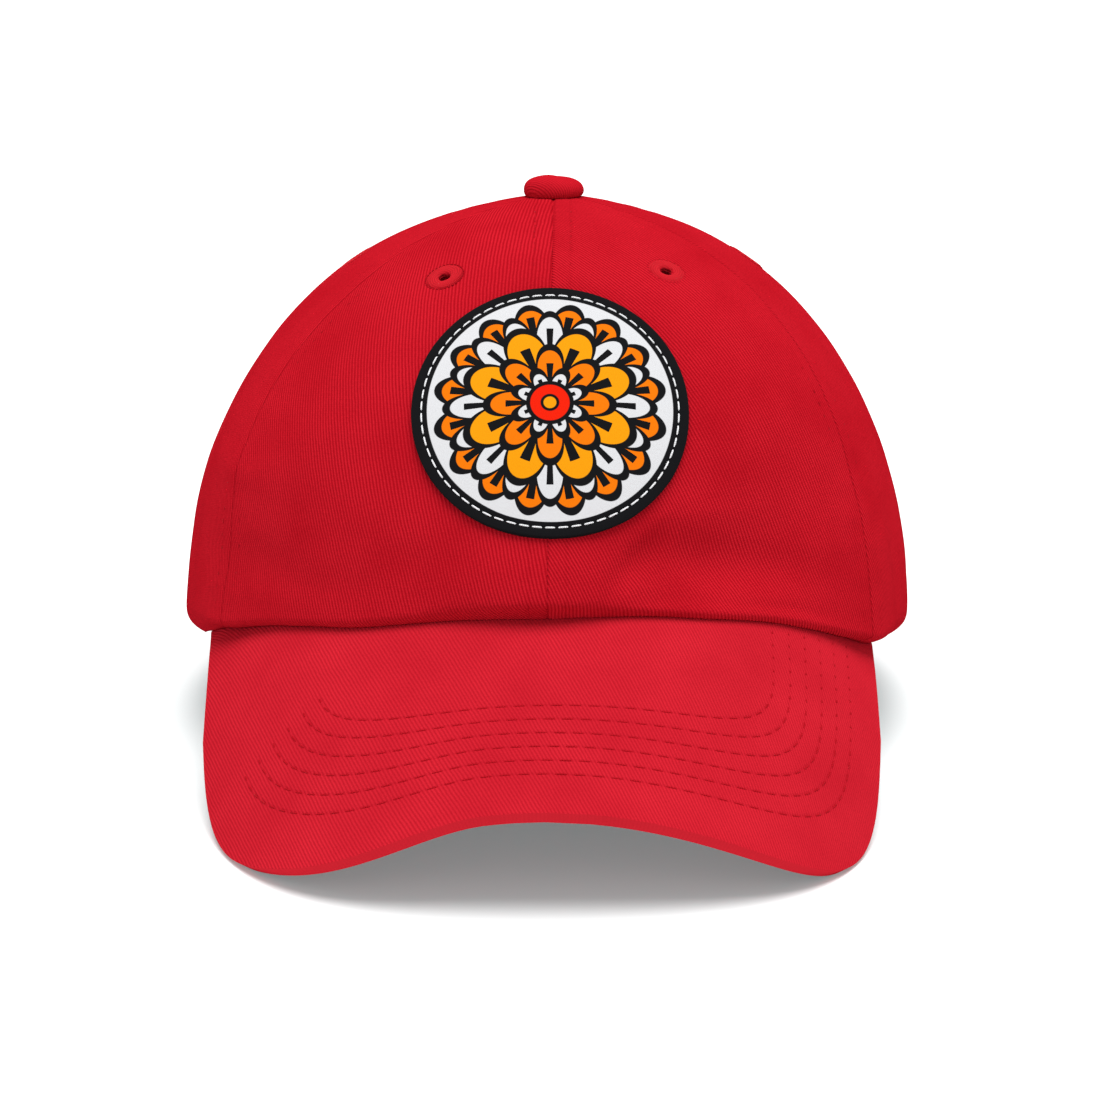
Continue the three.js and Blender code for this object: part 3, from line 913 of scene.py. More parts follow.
@dataclass(frozen=True)
class CottonFinish:
    """Washed cotton: yarns a little fuzzy, dyed in the piece, matte."""

    name: str
    weave: Weave
    light: str
    dark: str
    wale_mm: float = 0.85
    wale_angle: float = 22.0
    yarn_mm: float = 0.62
    relief_mm: float = 0.13
    contrast: float = 0.78
    speckle: float = 0.6
    groove_depth: float = 0.4
    groove_half_mm: float = 0.62
    groove_at_mm: float = 4.5
    groove_pitch_mm: float = 0.0
    groove_count: float = 1.0

    def build(self) -> Material:
        """Make the material, with the weave in the UV map Cloth and seams in the map Seam.

        Returns:
            The material.
        """
        material, shader, add = new_material(self.name)
        cloth = add("UVMap", uv_map="Cloth")
        wobble = add("TexNoise", {"Vector": cloth, "Scale": 0.22, "Detail": 2.0})
        wale_turn = (0.0, 0.0, -math.radians(self.wale_angle))
        turned = add("SeparateXYZ", (add("Mapping", {"Vector": cloth, "Rotation": wale_turn}),))
        drift = add("Math", (wobble, 0.4), operation="MULTIPLY")
        across = add("Math", (turned.outputs["X"], drift), operation="ADD")
        cloud = add("TexNoise", {"Vector": cloth, "Scale": 0.045, "Detail": 3.0})
        worn = add("Math", (cloud, 1.1, 0.3), operation="MULTIPLY_ADD")
        weave = self._weave_height(add, across, turned.outputs["Y"])
        yarns = add("Math", (weave, worn), operation="MULTIPLY")
        fuzz = add("TexNoise", {"Vector": cloth, "Scale": 1.5, "Detail": 4.0})
        height = add("Math", (fuzz, self.speckle, yarns), operation="MULTIPLY_ADD")
        groove = self._groove(add)
        low = add("Math", (groove, self.groove_depth), operation="MULTIPLY")
        surface = add("Math", (height, low), operation="SUBTRACT")
        relief = {"Height": surface, "Distance": self.relief_mm * MM, "Strength": 1.0}
        set_inputs(material, shader, {
            "Base Color": self._colour(add, cloud, height, groove),
            "Normal": add("Bump", relief),
            "Roughness": 0.9,
            "Diffuse Roughness": 0.5,
            "Specular IOR Level": 0.0,
        })
        return material

    def _weave_height(self, add: Adder, across: bpy.types.Node, along: Socket) -> bpy.types.Node:
        """Height of the yarns from 0 to 1.

        Args:
            add: adds a node to the material.
            across: distance across the wales or warp in mm.
            along: distance along them in mm.

        Returns:
            The node that gives the height.
        """
        phase = add("Math", (across, 2 * math.pi / self.wale_mm), operation="MULTIPLY")
        wave = add("Math", (phase,), operation="COSINE")
        rib = add("Math", (wave, 0.5, 0.5), operation="MULTIPLY_ADD")
        row = add("Math", (across, self.wale_mm), operation="DIVIDE")
        shift = add("Math", (add("Math", (row,), operation="FLOOR"), 2.1), operation="MULTIPLY")
        yarn_turn = 2 * math.pi / (self.yarn_mm if self.weave is Weave.TWILL else self.wale_mm)
        phase = add("Math", (along, yarn_turn, shift), operation="MULTIPLY_ADD")
        wave = add("Math", (phase,), operation="COSINE")
        yarn = add("Math", (wave, 0.5, 0.5), operation="MULTIPLY_ADD")
        if self.weave is Weave.PLAIN:
            return add("Math", (rib, yarn), operation="MULTIPLY")
        soft = add("Math", (rib, 0.8), operation="POWER")
        filled = add("Math", (yarn, 0.3, 0.7), operation="MULTIPLY_ADD")
        return add("Math", (soft, filled), operation="MULTIPLY")

    def _groove(self, add: Adder) -> bpy.types.Node:
        """Depth from 0 to 1 of the grooves that rows of stitches pull into the cloth.

        Args:
            add: adds a node to the material.

        Returns:
            The node that gives the depth.
        """
        seam = add("SeparateXYZ", (add("UVMap", uv_map="Seam"),))
        distance = seam.outputs["X"]
        if self.groove_pitch_mm > 0:
            counted = add("Math", (distance, self.groove_pitch_mm), operation="DIVIDE")
            nearest = add("Math", (counted,), operation="ROUND")
            nearest = add("Math", (nearest, 0.0), operation="MAXIMUM")
            nearest = add("Math", (nearest, self.groove_count - 1), operation="MINIMUM")
            off = add("Math", (counted, nearest), operation="SUBTRACT")
            off = add("Math", (off, self.groove_pitch_mm), operation="MULTIPLY")
        else:
            off = add("Math", (distance, self.groove_at_mm), operation="SUBTRACT")
            off = add("Math", (off,), operation="ABSOLUTE")
            off = add("Math", (off, distance), operation="MINIMUM")
        off = add("Math", (off,), operation="ABSOLUTE")
        near = add("Math", (off, self.groove_half_mm), operation="DIVIDE")
        near = add("Math", (near, 1.5), operation="POWER")
        depth = add("Math", (1.0, near), operation="SUBTRACT", use_clamp=True)
        return add("Math", (depth, seam.outputs["Y"]), operation="MULTIPLY")

    def _colour(self, add: Adder, cloud: bpy.types.Node, height: bpy.types.Node,
                groove: bpy.types.Node) -> Socket:
        """The base colour: painted shade between the wales and painted light on their tops, by the
        yarns' height, with slightly uneven dye and painted shade in the stitch grooves.

        Args:
            add: adds a node to the material.
            cloud: noise of the uneven dye.
            height: height of the yarns.
            groove: depth of the grooves.

        Returns:
            The colour's socket.
        """
        # Painted shade between the wales and painted light on their tops, by the yarns' height
        off = add("Math", (height, 0.75), operation="SUBTRACT")
        share = add("Math", (off, self.contrast, 0.5), operation="MULTIPLY_ADD")
        uneven = add("Math", (cloud, 0.5), operation="SUBTRACT")
        share = add("Math", (uneven, 0.4, share), operation="MULTIPLY_ADD")
        # Painted shade in the stitch grooves, on top of their relief
        dip = add("Math", (groove, self.groove_depth * 0.3), operation="MULTIPLY")
        lit = add("Math", (share, dip), operation="SUBTRACT", use_clamp=True)
        shade_mix = {"Factor": lit, 6: srgb(self.dark), 7: srgb(self.light)}
        return add("Mix", shade_mix, data_type="RGBA").outputs[2]


@dataclass(frozen=True)
class ThreadFinish:
    """Spun cotton thread: two plies twisted together, matte, with a very slight sheen."""

    name: str
    light: str
    dark: str
    ply_mm: float = 0.55
    relief_mm: float = 0.06

    def build(self) -> Material:
        """Make the material, with the plies' twist along the UV map Cloth.

        Returns:
            The material.
        """
        material, shader, add = new_material(self.name)
        along, aside, _ = add("SeparateXYZ", (add("UVMap", uv_map="Cloth"),)).outputs
        slant = add("Math", (aside, 1.4), operation="MULTIPLY")
        way = add("Math", (along, slant), operation="ADD")
        phase = add("Math", (way, 2 * math.pi / self.ply_mm), operation="MULTIPLY")
        twist = add("Math", (phase,), operation="SINE")
        ply = add("Math", (twist, 0.5, 0.5), operation="MULTIPLY_ADD")
        # Dark between the plies and light on them: painted shade and painted light by the twist's
        # relief
        shade_mix = {"Factor": ply, 6: srgb(self.dark), 7: srgb(self.light)}
        relief = {"Height": ply, "Distance": self.relief_mm * MM, "Strength": 1.0}
        set_inputs(material, shader, {
            "Base Color": add("Mix", shade_mix, data_type="RGBA").outputs[2],
            "Normal": add("Bump", relief),
            "Roughness": 0.7,
            "Diffuse Roughness": 0.8,
            "Specular IOR Level": 0.04,
        })
        return material


@dataclass(frozen=True)
class PatchPrint:
    """Fine canvas printed with a rosette of petals on white, inside a black border."""

    name: str = "printed_canvas"
    black: str = "#131315"
    white: str = "#c6c6c8"
    orange: str = "#d96f08"
    amber: str = "#d98f0c"
    red: str = "#d41f08"
    border_mm: float = 29.0
    yarn_mm: float = 0.45
    relief_mm: float = 0.05
    soft_line_mm: float = 0.15

    def build(self) -> Material:
        """Make the material, with the print laid out in mm in the UV map Cloth.

        Returns:
            The material.
        """
        material, shader, add = new_material(self.name)
        cloth = add("UVMap", uv_map="Cloth")
        x, y, _ = add("SeparateXYZ", (cloth,)).outputs
        squares = tuple(add("Math", (part, part), operation="MULTIPLY") for part in (x, y))
        radius = add("Math", (add("Math", squares, operation="ADD"),), operation="SQRT")
        angle = add("Math", (y, x), operation="ARCTAN2")
        border = self._inside(add, radius, self.border_mm)
        colour = self._layer(add, srgb(self.black), self.white, border)
        # Each ring of petals: number, turn, root and tip radius in mm, outline and fill colours
        rings = (
            (16, 0.5, 20.0, 27.8, self.black, self.orange),
            (16, 0.0, 15.0, 25.4, self.black, self.white),
            (8, 0.5, 9.0, 21.8, self.black, self.amber),
            (8, 0.0, 5.0, 15.8, self.black, self.orange),
            (8, 0.5, 3.0, 9.8, self.black, self.white),
        )
        for count, turn, root, tip, line, fill in rings:
            wave = self._petal(add, angle, count, turn)
            edge = add("Math", (wave, tip - root, root), operation="MULTIPLY_ADD")
            inner = add("Math", (wave, tip - root - 1.0, root - 0.9), operation="MULTIPLY_ADD")
            inside = self._inside(add, radius, inner)
            colour = self._layer(add, colour, line, self._inside(add, radius, edge))
            colour = self._layer(add, colour, fill, inside)
            middle = add("Math", (wave, 0.97), operation="GREATER_THAN")
            low = add("Math", (radius, (root + tip) / 2), operation="LESS_THAN")
            vein = add("Math", (middle, low), operation="MULTIPLY")
            vein = add("Math", (vein, inside), operation="MULTIPLY")
            colour = self._layer(add, colour, line, vein)
        # The rosette's heart: radius in mm and colour of each disc
        discs = ((5.6, self.black), (4.6, self.red), (2.2, self.black), (1.5, self.amber))
        for edge, fill in discs:
            colour = self._layer(add, colour, fill, self._inside(add, radius, edge))
        set_inputs(material, shader, {
            "Base Color": colour,
            "Normal": self._canvas(add, x, y, cloth),
            "Roughness": 0.85,
            "Diffuse Roughness": 0.6,
            "Specular IOR Level": 0.03,
        })
        return material

    @staticmethod
    def _petal(add: Adder, angle: bpy.types.Node, count: int, turn: float) -> bpy.types.Node:
        """A wave from 0 between petals to 1 at their tips.

        Args:
            add: adds a node to the material.
            angle: angle round the print in radians.
            count: number of petals.
            turn: how far they are turned, as a share of a petal.

        Returns:
            The node that gives the wave.
        """
        phase = add("Math", (angle, count / 2, turn * math.pi), operation="MULTIPLY_ADD")
        wave = add("Math", (phase,), operation="COSINE")
        wave = add("Math", (wave,), operation="ABSOLUTE")
        return add("Math", (wave, 0.55), operation="POWER")

    def _inside(self, add: Adder, radius: bpy.types.Node,
                edge: float | bpy.types.Node) -> bpy.types.Node:
        """1 inside an edge radius and 0 outside, with a soft line between.

        Args:
            add: adds a node to the material.
            radius: distance from the print's centre in mm.
            edge: radius of the edge in mm.

        Returns:
            The node that gives the share.
        """
        off = add("Math", (edge, radius), operation="SUBTRACT")
        steep = (off, 1.0 / self.soft_line_mm, 0.5)
        return add("Math", steep, operation="MULTIPLY_ADD", use_clamp=True)

    @staticmethod
    def _layer(add: Adder, under: Socket | tuple, over: str, mask: bpy.types.Node) -> Socket:
        """Lay one colour over another where the mask is 1."""
        inks = {"Factor": mask, 6: under, 7: srgb(over)}
        return add("Mix", inks, data_type="RGBA").outputs[2]

    def _canvas(self, add: Adder, x: Socket, y: Socket, cloth: bpy.types.Node) -> bpy.types.Node:
        """The relief of the canvas's fine plain weave under the print.

        Args:
            add: adds a node to the material.
            x: place across the print in mm.
            y: place up the print in mm.
            cloth: the UV map Cloth.

        Returns:
            The node that gives the normal.
        """
        turn = 2 * math.pi / self.yarn_mm
        phases = [add("Math", (way, turn), operation="MULTIPLY") for way in (x, y)]
        waves = tuple(add("Math", (phase,), operation="COSINE") for phase in phases)
        weave = add("Math", waves, operation="MULTIPLY")
        fuzz = add("TexNoise", {"Vector": cloth, "Scale": 1.5, "Detail": 4.0})
        height = add("Math", (weave, 0.25, fuzz), operation="MULTIPLY_ADD")
        return add("Bump", {"Height": height, "Distance": self.relief_mm * MM, "Strength": 1.0})


@dataclass(frozen=True)
class BrassFinish:
    """Stamped brass, antiqued and brushed: fine lines along it and darker hollows."""

    name: str = "antique_brass"
    light: str = "#b99a62"
    dark: str = "#6b5632"
    roughness: float = 0.34
    relief_mm: float = 0.02

    def build(self) -> Material:
        """Make the material, with its brushing in object coordinates.

        Returns:
            The material.
        """
        material, shader, add = new_material(self.name)
        place = add("TexCoord").outputs["Object"]
        brushed = add("Mapping", {"Vector": place, "Scale": (9000, 9000, 400)})
        lines = add("TexNoise", {"Vector": brushed, "Scale": 1.0})
        tarnish = add("TexNoise", {"Vector": place, "Scale": 260.0, "Detail": 4.0})
        tones = {"Factor": tarnish, 6: srgb(self.dark), 7: srgb(self.light)}
        relief = {"Height": lines, "Distance": self.relief_mm * MM, "Strength": 1.0}
        rough = (lines, 0.25, self.roughness - 0.1)
        set_inputs(material, shader, {
            "Base Color": add("Mix", tones, data_type="RGBA").outputs[2],
            "Roughness": add("Math", rough, operation="MULTIPLY_ADD"),
            "Normal": add("Bump", relief),
            "Metallic": 1.0,
        })
        return material


# Each red's light tone is painted light on the yarns' tops, and its dark tone is painted shade
# between them
RED_LIGHT, RED_DARK = "#bd1b28", "#9a0c18"
VISOR_LIGHT, VISOR_DARK = "#c0222f", "#9d121f"


@dataclass(frozen=True)
class Cloths:
    """Every finish of the hat, built once."""

    crown: Material
    visor: Material
    visor_edge: Material
    button: Material
    band: Material
    thread: Material
    seam_thread: Material
    white_thread: Material
    patch: Material
    brass: Material

    @classmethod
    def make(cls) -> "Cloths":
        """Build the finishes.

        Returns:
            The finishes.
        """
        return cls(
            crown=CottonFinish("red_cotton_twill", Weave.TWILL, RED_LIGHT, RED_DARK,
                               relief_mm=0.2, contrast=1.4).build(),
            visor=CottonFinish("red_cotton_twill_visor", Weave.TWILL, VISOR_LIGHT, VISOR_DARK,
                               groove_depth=0.5, groove_pitch_mm=Visor.row_pitch,
                               groove_count=Visor.rows).build(),
            # The edge's tones are lighter than the top's: painted light that lifts the shade on the
            # board's forward-facing edge
            visor_edge=CottonFinish("red_cotton_twill_edge", Weave.TWILL, "#cb2532", "#b41c28",
                                    relief_mm=0.03, contrast=0.2).build(),
            button=CottonFinish("red_cotton_twill_button", Weave.TWILL, RED_LIGHT, RED_DARK,
                                wale_angle=44.0).build(),
            band=CottonFinish("red_cotton_sweatband", Weave.PLAIN, "#c41d2a", "#8f0d18",
                              wale_mm=0.7, wale_angle=0.0, relief_mm=0.08,
                              groove_at_mm=2.5).build(),
            thread=ThreadFinish("red_embroidery_thread", "#c01b27", "#aa121e").build(),
            # The sewing thread is darker than the cloth: painted shade of the small dimples that its
            # stitches sink into
            seam_thread=ThreadFinish("red_sewing_thread", "#ab0c1b", "#960815").build(),
            white_thread=ThreadFinish("white_sewing_thread", "#e8e8e9", "#cecfd1").build(),
            patch=PatchPrint().build(),
            brass=BrassFinish().build(),
        )


# Pieces

def ride(piece: bpy.types.Object, slot: str, *nodes: str) -> None:
    """Fix a piece to the hat and hide the imported parts of the nodes that it stands for.

    Args:
        piece: the piece.
        slot: not used.
        nodes: names of the nodes that it stands for.
    """
    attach(piece, BODY)
    if nodes:
        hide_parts(*nodes)
    LOG.info("made %s with %d faces", piece.name, len(piece.data.polygons))


def declare_cloth(piece: bpy.types.Object, width_mm: float = 0.0) -> None:
    """Read a single-layer sheet's UV map Cloth, unless it is a straight tape; nothing is done with
    the values.

    Args:
        piece: the sheet, whose UV map Cloth is in mm of flat cloth.
        width_mm: the width of a straight tape, or 0 for a shaped cut, measured on the map.
    """
    if width_mm > 0:
        return
    values = np.empty(len(piece.data.loops) * 2, dtype=np.float32)
    piece.data.uv_layers["Cloth"].data.foreach_get("uv", values)


@dataclass
class Crown:
    """Six panels of cotton twill with their topstitched seams and sewn eyelets, sizes in mm."""

    cloths: Cloths
    columns: int = 100
    rows: int = 140
    rise: float = 1.25
    topstitch: float = 4.5
    seam_pitch: float = 3.2
    thread: float = 0.36
    hem_row: float = 9.0
    front_half: float = 30.0
    rear_groove: float = 0.5
    allowance: float = 0.08
    seam_dip: float = 0.2
    front_dip: float = 0.14
    front_dip_top: float = 0.4
    pulled: float = 0.05
    front_pulled: float = 0.1
    pucker: float = 0.06
    pucker_pitch: float = 8.5
    wave: float = 0.45
    fine_wave: float = 0.16
    way_at_button: float = 130.0
    cut_across: float = 40.0
    cut_along: float = 13.0
    eyelet_radius: float = 4.6
    hole_radius: float = 1.6
    eyelet_threads: int = 60
    eyelet_thread: float = 0.56
    # Short dark threads round each eyelet: painted shade of the small dimples there
    dimple_shade_count: int = 30
    dimple_shade_length: float = 0.8
    dimple_shade_gap: float = 0.25

    def build(self) -> None:
        """Build the panels, the seams' stitches and the eyelets."""
        for number, panel in enumerate(PANELS):
            self._panel(panel, number)
        self._seam_stitches()
        self._hem_stitches()
        # Short dark threads round each eyelet, painted shade of the dimples there
        dimple_shades = StitchRun.empty()
        for panel in PANELS:
            self._eyelet(panel, dimple_shades)
        piece = dimple_shades.build("eyelet_dimple_shades", 0.3, -0.1, self.cloths.seam_thread)
        ride(piece, "eyelet_thread")

    def relief(self, azimuth: np.ndarray, z: np.ndarray, seam: np.ndarray,
               way: np.ndarray) -> np.ndarray:
        """How far the cloth stands out of the plain form at seams, stitches and small ripples.

        Args:
            azimuth: the points' azimuths.
            z: their heights.
            seam: their distances from the nearest seam in mm.
            way: their distances along the panel in mm.

        Returns:
            The relief in mm.
        """
        front = np.abs(azimuth) < 20.0
        allowance = self.allowance * (1.0 - smooth((seam - self.topstitch - 0.3) / 2.0))
        front_dip = mix(self.front_dip, self.front_dip_top, smooth((z - 55.0) / 35.0))
        valley = -np.where(front, front_dip, self.seam_dip) * ridge(seam, 0.45)
        pulled = -np.where(front, self.front_pulled, self.pulled) * ridge(seam - self.topstitch, 0.7)
        phase = way * 2 * np.pi / self.pucker_pitch + 2.0 * np.sin(way / (2 * self.pucker_pitch))
        pucker = self.pucker * np.sin(phase) * ridge(seam - self.topstitch, 3.2)
        loose = mix(0.2, 1.0, smooth((HAT.height - z) / 18.0))
        turn = np.radians(azimuth)
        spot = np.stack((np.sin(turn) * 2.6, np.cos(turn) * 2.6, z / 36.0), -1)
        wavy = np.array([noise.noise(Vector(place)) for place in spot])
        fine = np.array([noise.noise(Vector(place * 3.1)) for place in spot])
        waves = loose * (self.wave * wavy + self.fine_wave * fine)
        return allowance + valley + pulled + pucker + waves

    def _way_up(self, u: np.ndarray, v: np.ndarray,
                eased_line: Callable[[np.ndarray], np.ndarray]) -> np.ndarray:
        """Place of each vertex of a panel's grid along its cloth, counted up to the button.

        Args:
            u: the vertices' shares across the panel.
            v: their shares up it.
            eased_line: gives the azimuth of a share across.

        Returns:
            The places in mm, which grow upwards to way_at_button.
        """
        columns, column = np.unique(np.round(u, 6), return_inverse=True)
        rows, row = np.unique(np.round(v, 6), return_inverse=True)
        azimuth = np.repeat(eased_line(columns)[:, None], len(rows), axis=1)
        points = HAT.crown_point(azimuth, HAT.crown_height(azimuth, rows[None, :] ** self.rise))
        steps = np.linalg.norm(np.diff(points, axis=1), axis=-1)
        way = np.concatenate((np.zeros((len(columns), 1)), np.cumsum(steps, axis=1)), axis=1)
        return (way - way[:, -1:] + self.way_at_button)[column, row]

    def _panel(self, panel: Panel, number: int) -> None:
        """Build one panel, with its eyelet's hole and, at the rear, the opening.

        Args:
            panel: the panel.
            number: its place in the row of panels.
        """
        middle = (panel.start + panel.end) / 2

        def eased_line(u: np.ndarray) -> np.ndarray:
            """Azimuths across the panel, closer near its seams."""
            return mix(panel.start, panel.end, mix(u, 0.5 - 0.5 * np.cos(np.pi * u), 0.6))

        def surface(u: np.ndarray, v: np.ndarray) -> tuple[Points, np.ndarray, np.ndarray]:
            """Lay the panel's grid on the crown, closer near the seams and the hem.

            Args:
                u: share of the way across the grid for each vertex, from 0 to 1.
                v: share of the way along the grid for each vertex, from 0 to 1.

            Returns:
                The surface at the grid's vertices.
            """
            azimuth = eased_line(u)
            z = HAT.crown_height(azimuth, v ** self.rise)
            radius = np.maximum(HAT.crown_radius(azimuth, z), HAT.top_hole)
            across = np.radians(azimuth - middle) * radius
            way = self._way_up(u, v, eased_line)
            half = np.radians(panel.end - panel.start) / 2 * radius
            seam = half - np.abs(across)
            raised = self.relief(azimuth, z, seam, way)
            points = HAT.crown_point(azimuth, z)
            points = points + HAT.crown_normal(azimuth, z) * raised[:, None]
            cloth = np.stack((across + self.cut_across * number, way + self.cut_along * number), -1)
            depth = np.where(np.abs(azimuth) < self.front_half, 1.0, self.rear_groove)
            return points, cloth, np.stack((seam, depth), -1)

        eyelet = HAT.crown_point(np.array([panel.eyelet]), np.array([panel.eyelet_height]))[0]

        def left_out(points: Points) -> np.ndarray:
            """Say which points lie in the eyelet's hole or the rear opening."""
            hole = np.linalg.norm(points - eyelet, axis=1) < self.hole_radius + 0.9
            return hole | Closure.in_opening(points, Closure.cut_back)

        piece = cloth_grid(panel.name + "_cloth", self.columns, self.rows, surface,
                           self.cloths.crown, left_out)
        thicken(piece, HAT.wall)
        ride(piece, "cotton_twill", panel.name)
        declare_cloth(piece)

    def _seam_stitches(self) -> None:
        """Sew two rows beside each seam, from the button down to the lower edge."""
        run = StitchRun.empty()
        share = np.linspace(0.004, 0.955, 240)
        for seam in (-120, -60, 0, 60, 120, 180):
            shown, sunk = (0.62, 0.0) if seam == 0 else (0.32, 0.09)
            for side in (-1, 1):
                at = np.full_like(share, float(seam))
                z = HAT.crown_height(at, share)
                for _ in range(2):
                    radius = HAT.crown_radius(at, z)
                    at = seam + side * np.degrees(self.topstitch / radius)
                    z = HAT.crown_height(at, share)
                normals = HAT.crown_normal(at, z)
                points = HAT.crown_point(at, z) - normals * sunk
                keep = ~Closure.in_opening(points)
                run.add_line(points[keep], normals[keep], pitch=self.seam_pitch, share=shown)
        piece = run.build("seam_stitches", self.thread, -0.1, self.cloths.seam_thread)
        ride(piece, "eyelet_thread")

    def _hem_stitches(self) -> None:
        """Sew one row above the lower edge at the sides and rear, which holds the sweatband."""
        run = StitchRun.empty()
        for side in (-1, 1):
            at = side * np.linspace(92.0, 155.5, 200)
            z = HAT.hem_height(at) + self.hem_row
            run.add_line(HAT.crown_point(at, z), HAT.crown_normal(at, z))
        piece = run.build("hem_stitches", self.thread, -0.04, self.cloths.seam_thread)
        ride(piece, "eyelet_thread")

    def _eyelet(self, panel: Panel, dimple_shades: StitchRun) -> None:
        """Sew one eyelet: threads laid round the hole on both faces, from its rim outwards.

        Args:
            panel: the panel that it is sewn into.
            dimple_shades: gets short dark threads round the eyelet, painted shade of the small
                dimples round it.
        """
        at, height = np.array([panel.eyelet]), np.array([panel.eyelet_height])
        centre = HAT.crown_point(at, height)[0]
        normal = HAT.crown_normal(at, height)[0]
        east = unit(np.cross(np.array([0.0, 0.0, 1.0]), normal))
        north = np.cross(normal, east)
        run = StitchRun.empty()
        middle = (self.eyelet_radius + self.hole_radius) / 2
        for turn in np.linspace(0, 2 * np.pi, self.eyelet_threads, endpoint=False):
            out = east * math.cos(turn) + north * math.sin(turn)
            for face in (1, -1):
                inwards = normal * HAT.wall * (face - 1) / 2
                run.add_one(centre + out * middle + inwards, out, normal * face,
                            self.eyelet_radius - self.hole_radius + 0.3)
        node = f"eyelet_{panel.eyelet_number}"
        piece = run.build(node + "_threads", self.eyelet_thread, 0.0, self.cloths.thread)
        # Painted shade of the dimples round the eyelet, as short dark sunk threads
        for turn in np.linspace(0, 2 * np.pi, self.dimple_shade_count, endpoint=False):
            out = east * math.cos(turn) + north * math.sin(turn)
            round_it = north * math.cos(turn) - east * math.sin(turn)
            place = centre + out * (self.eyelet_radius + self.dimple_shade_gap)
            dimple_shades.add_one(place, round_it, normal, self.dimple_shade_length)
        ride(piece, "eyelet_thread", node)


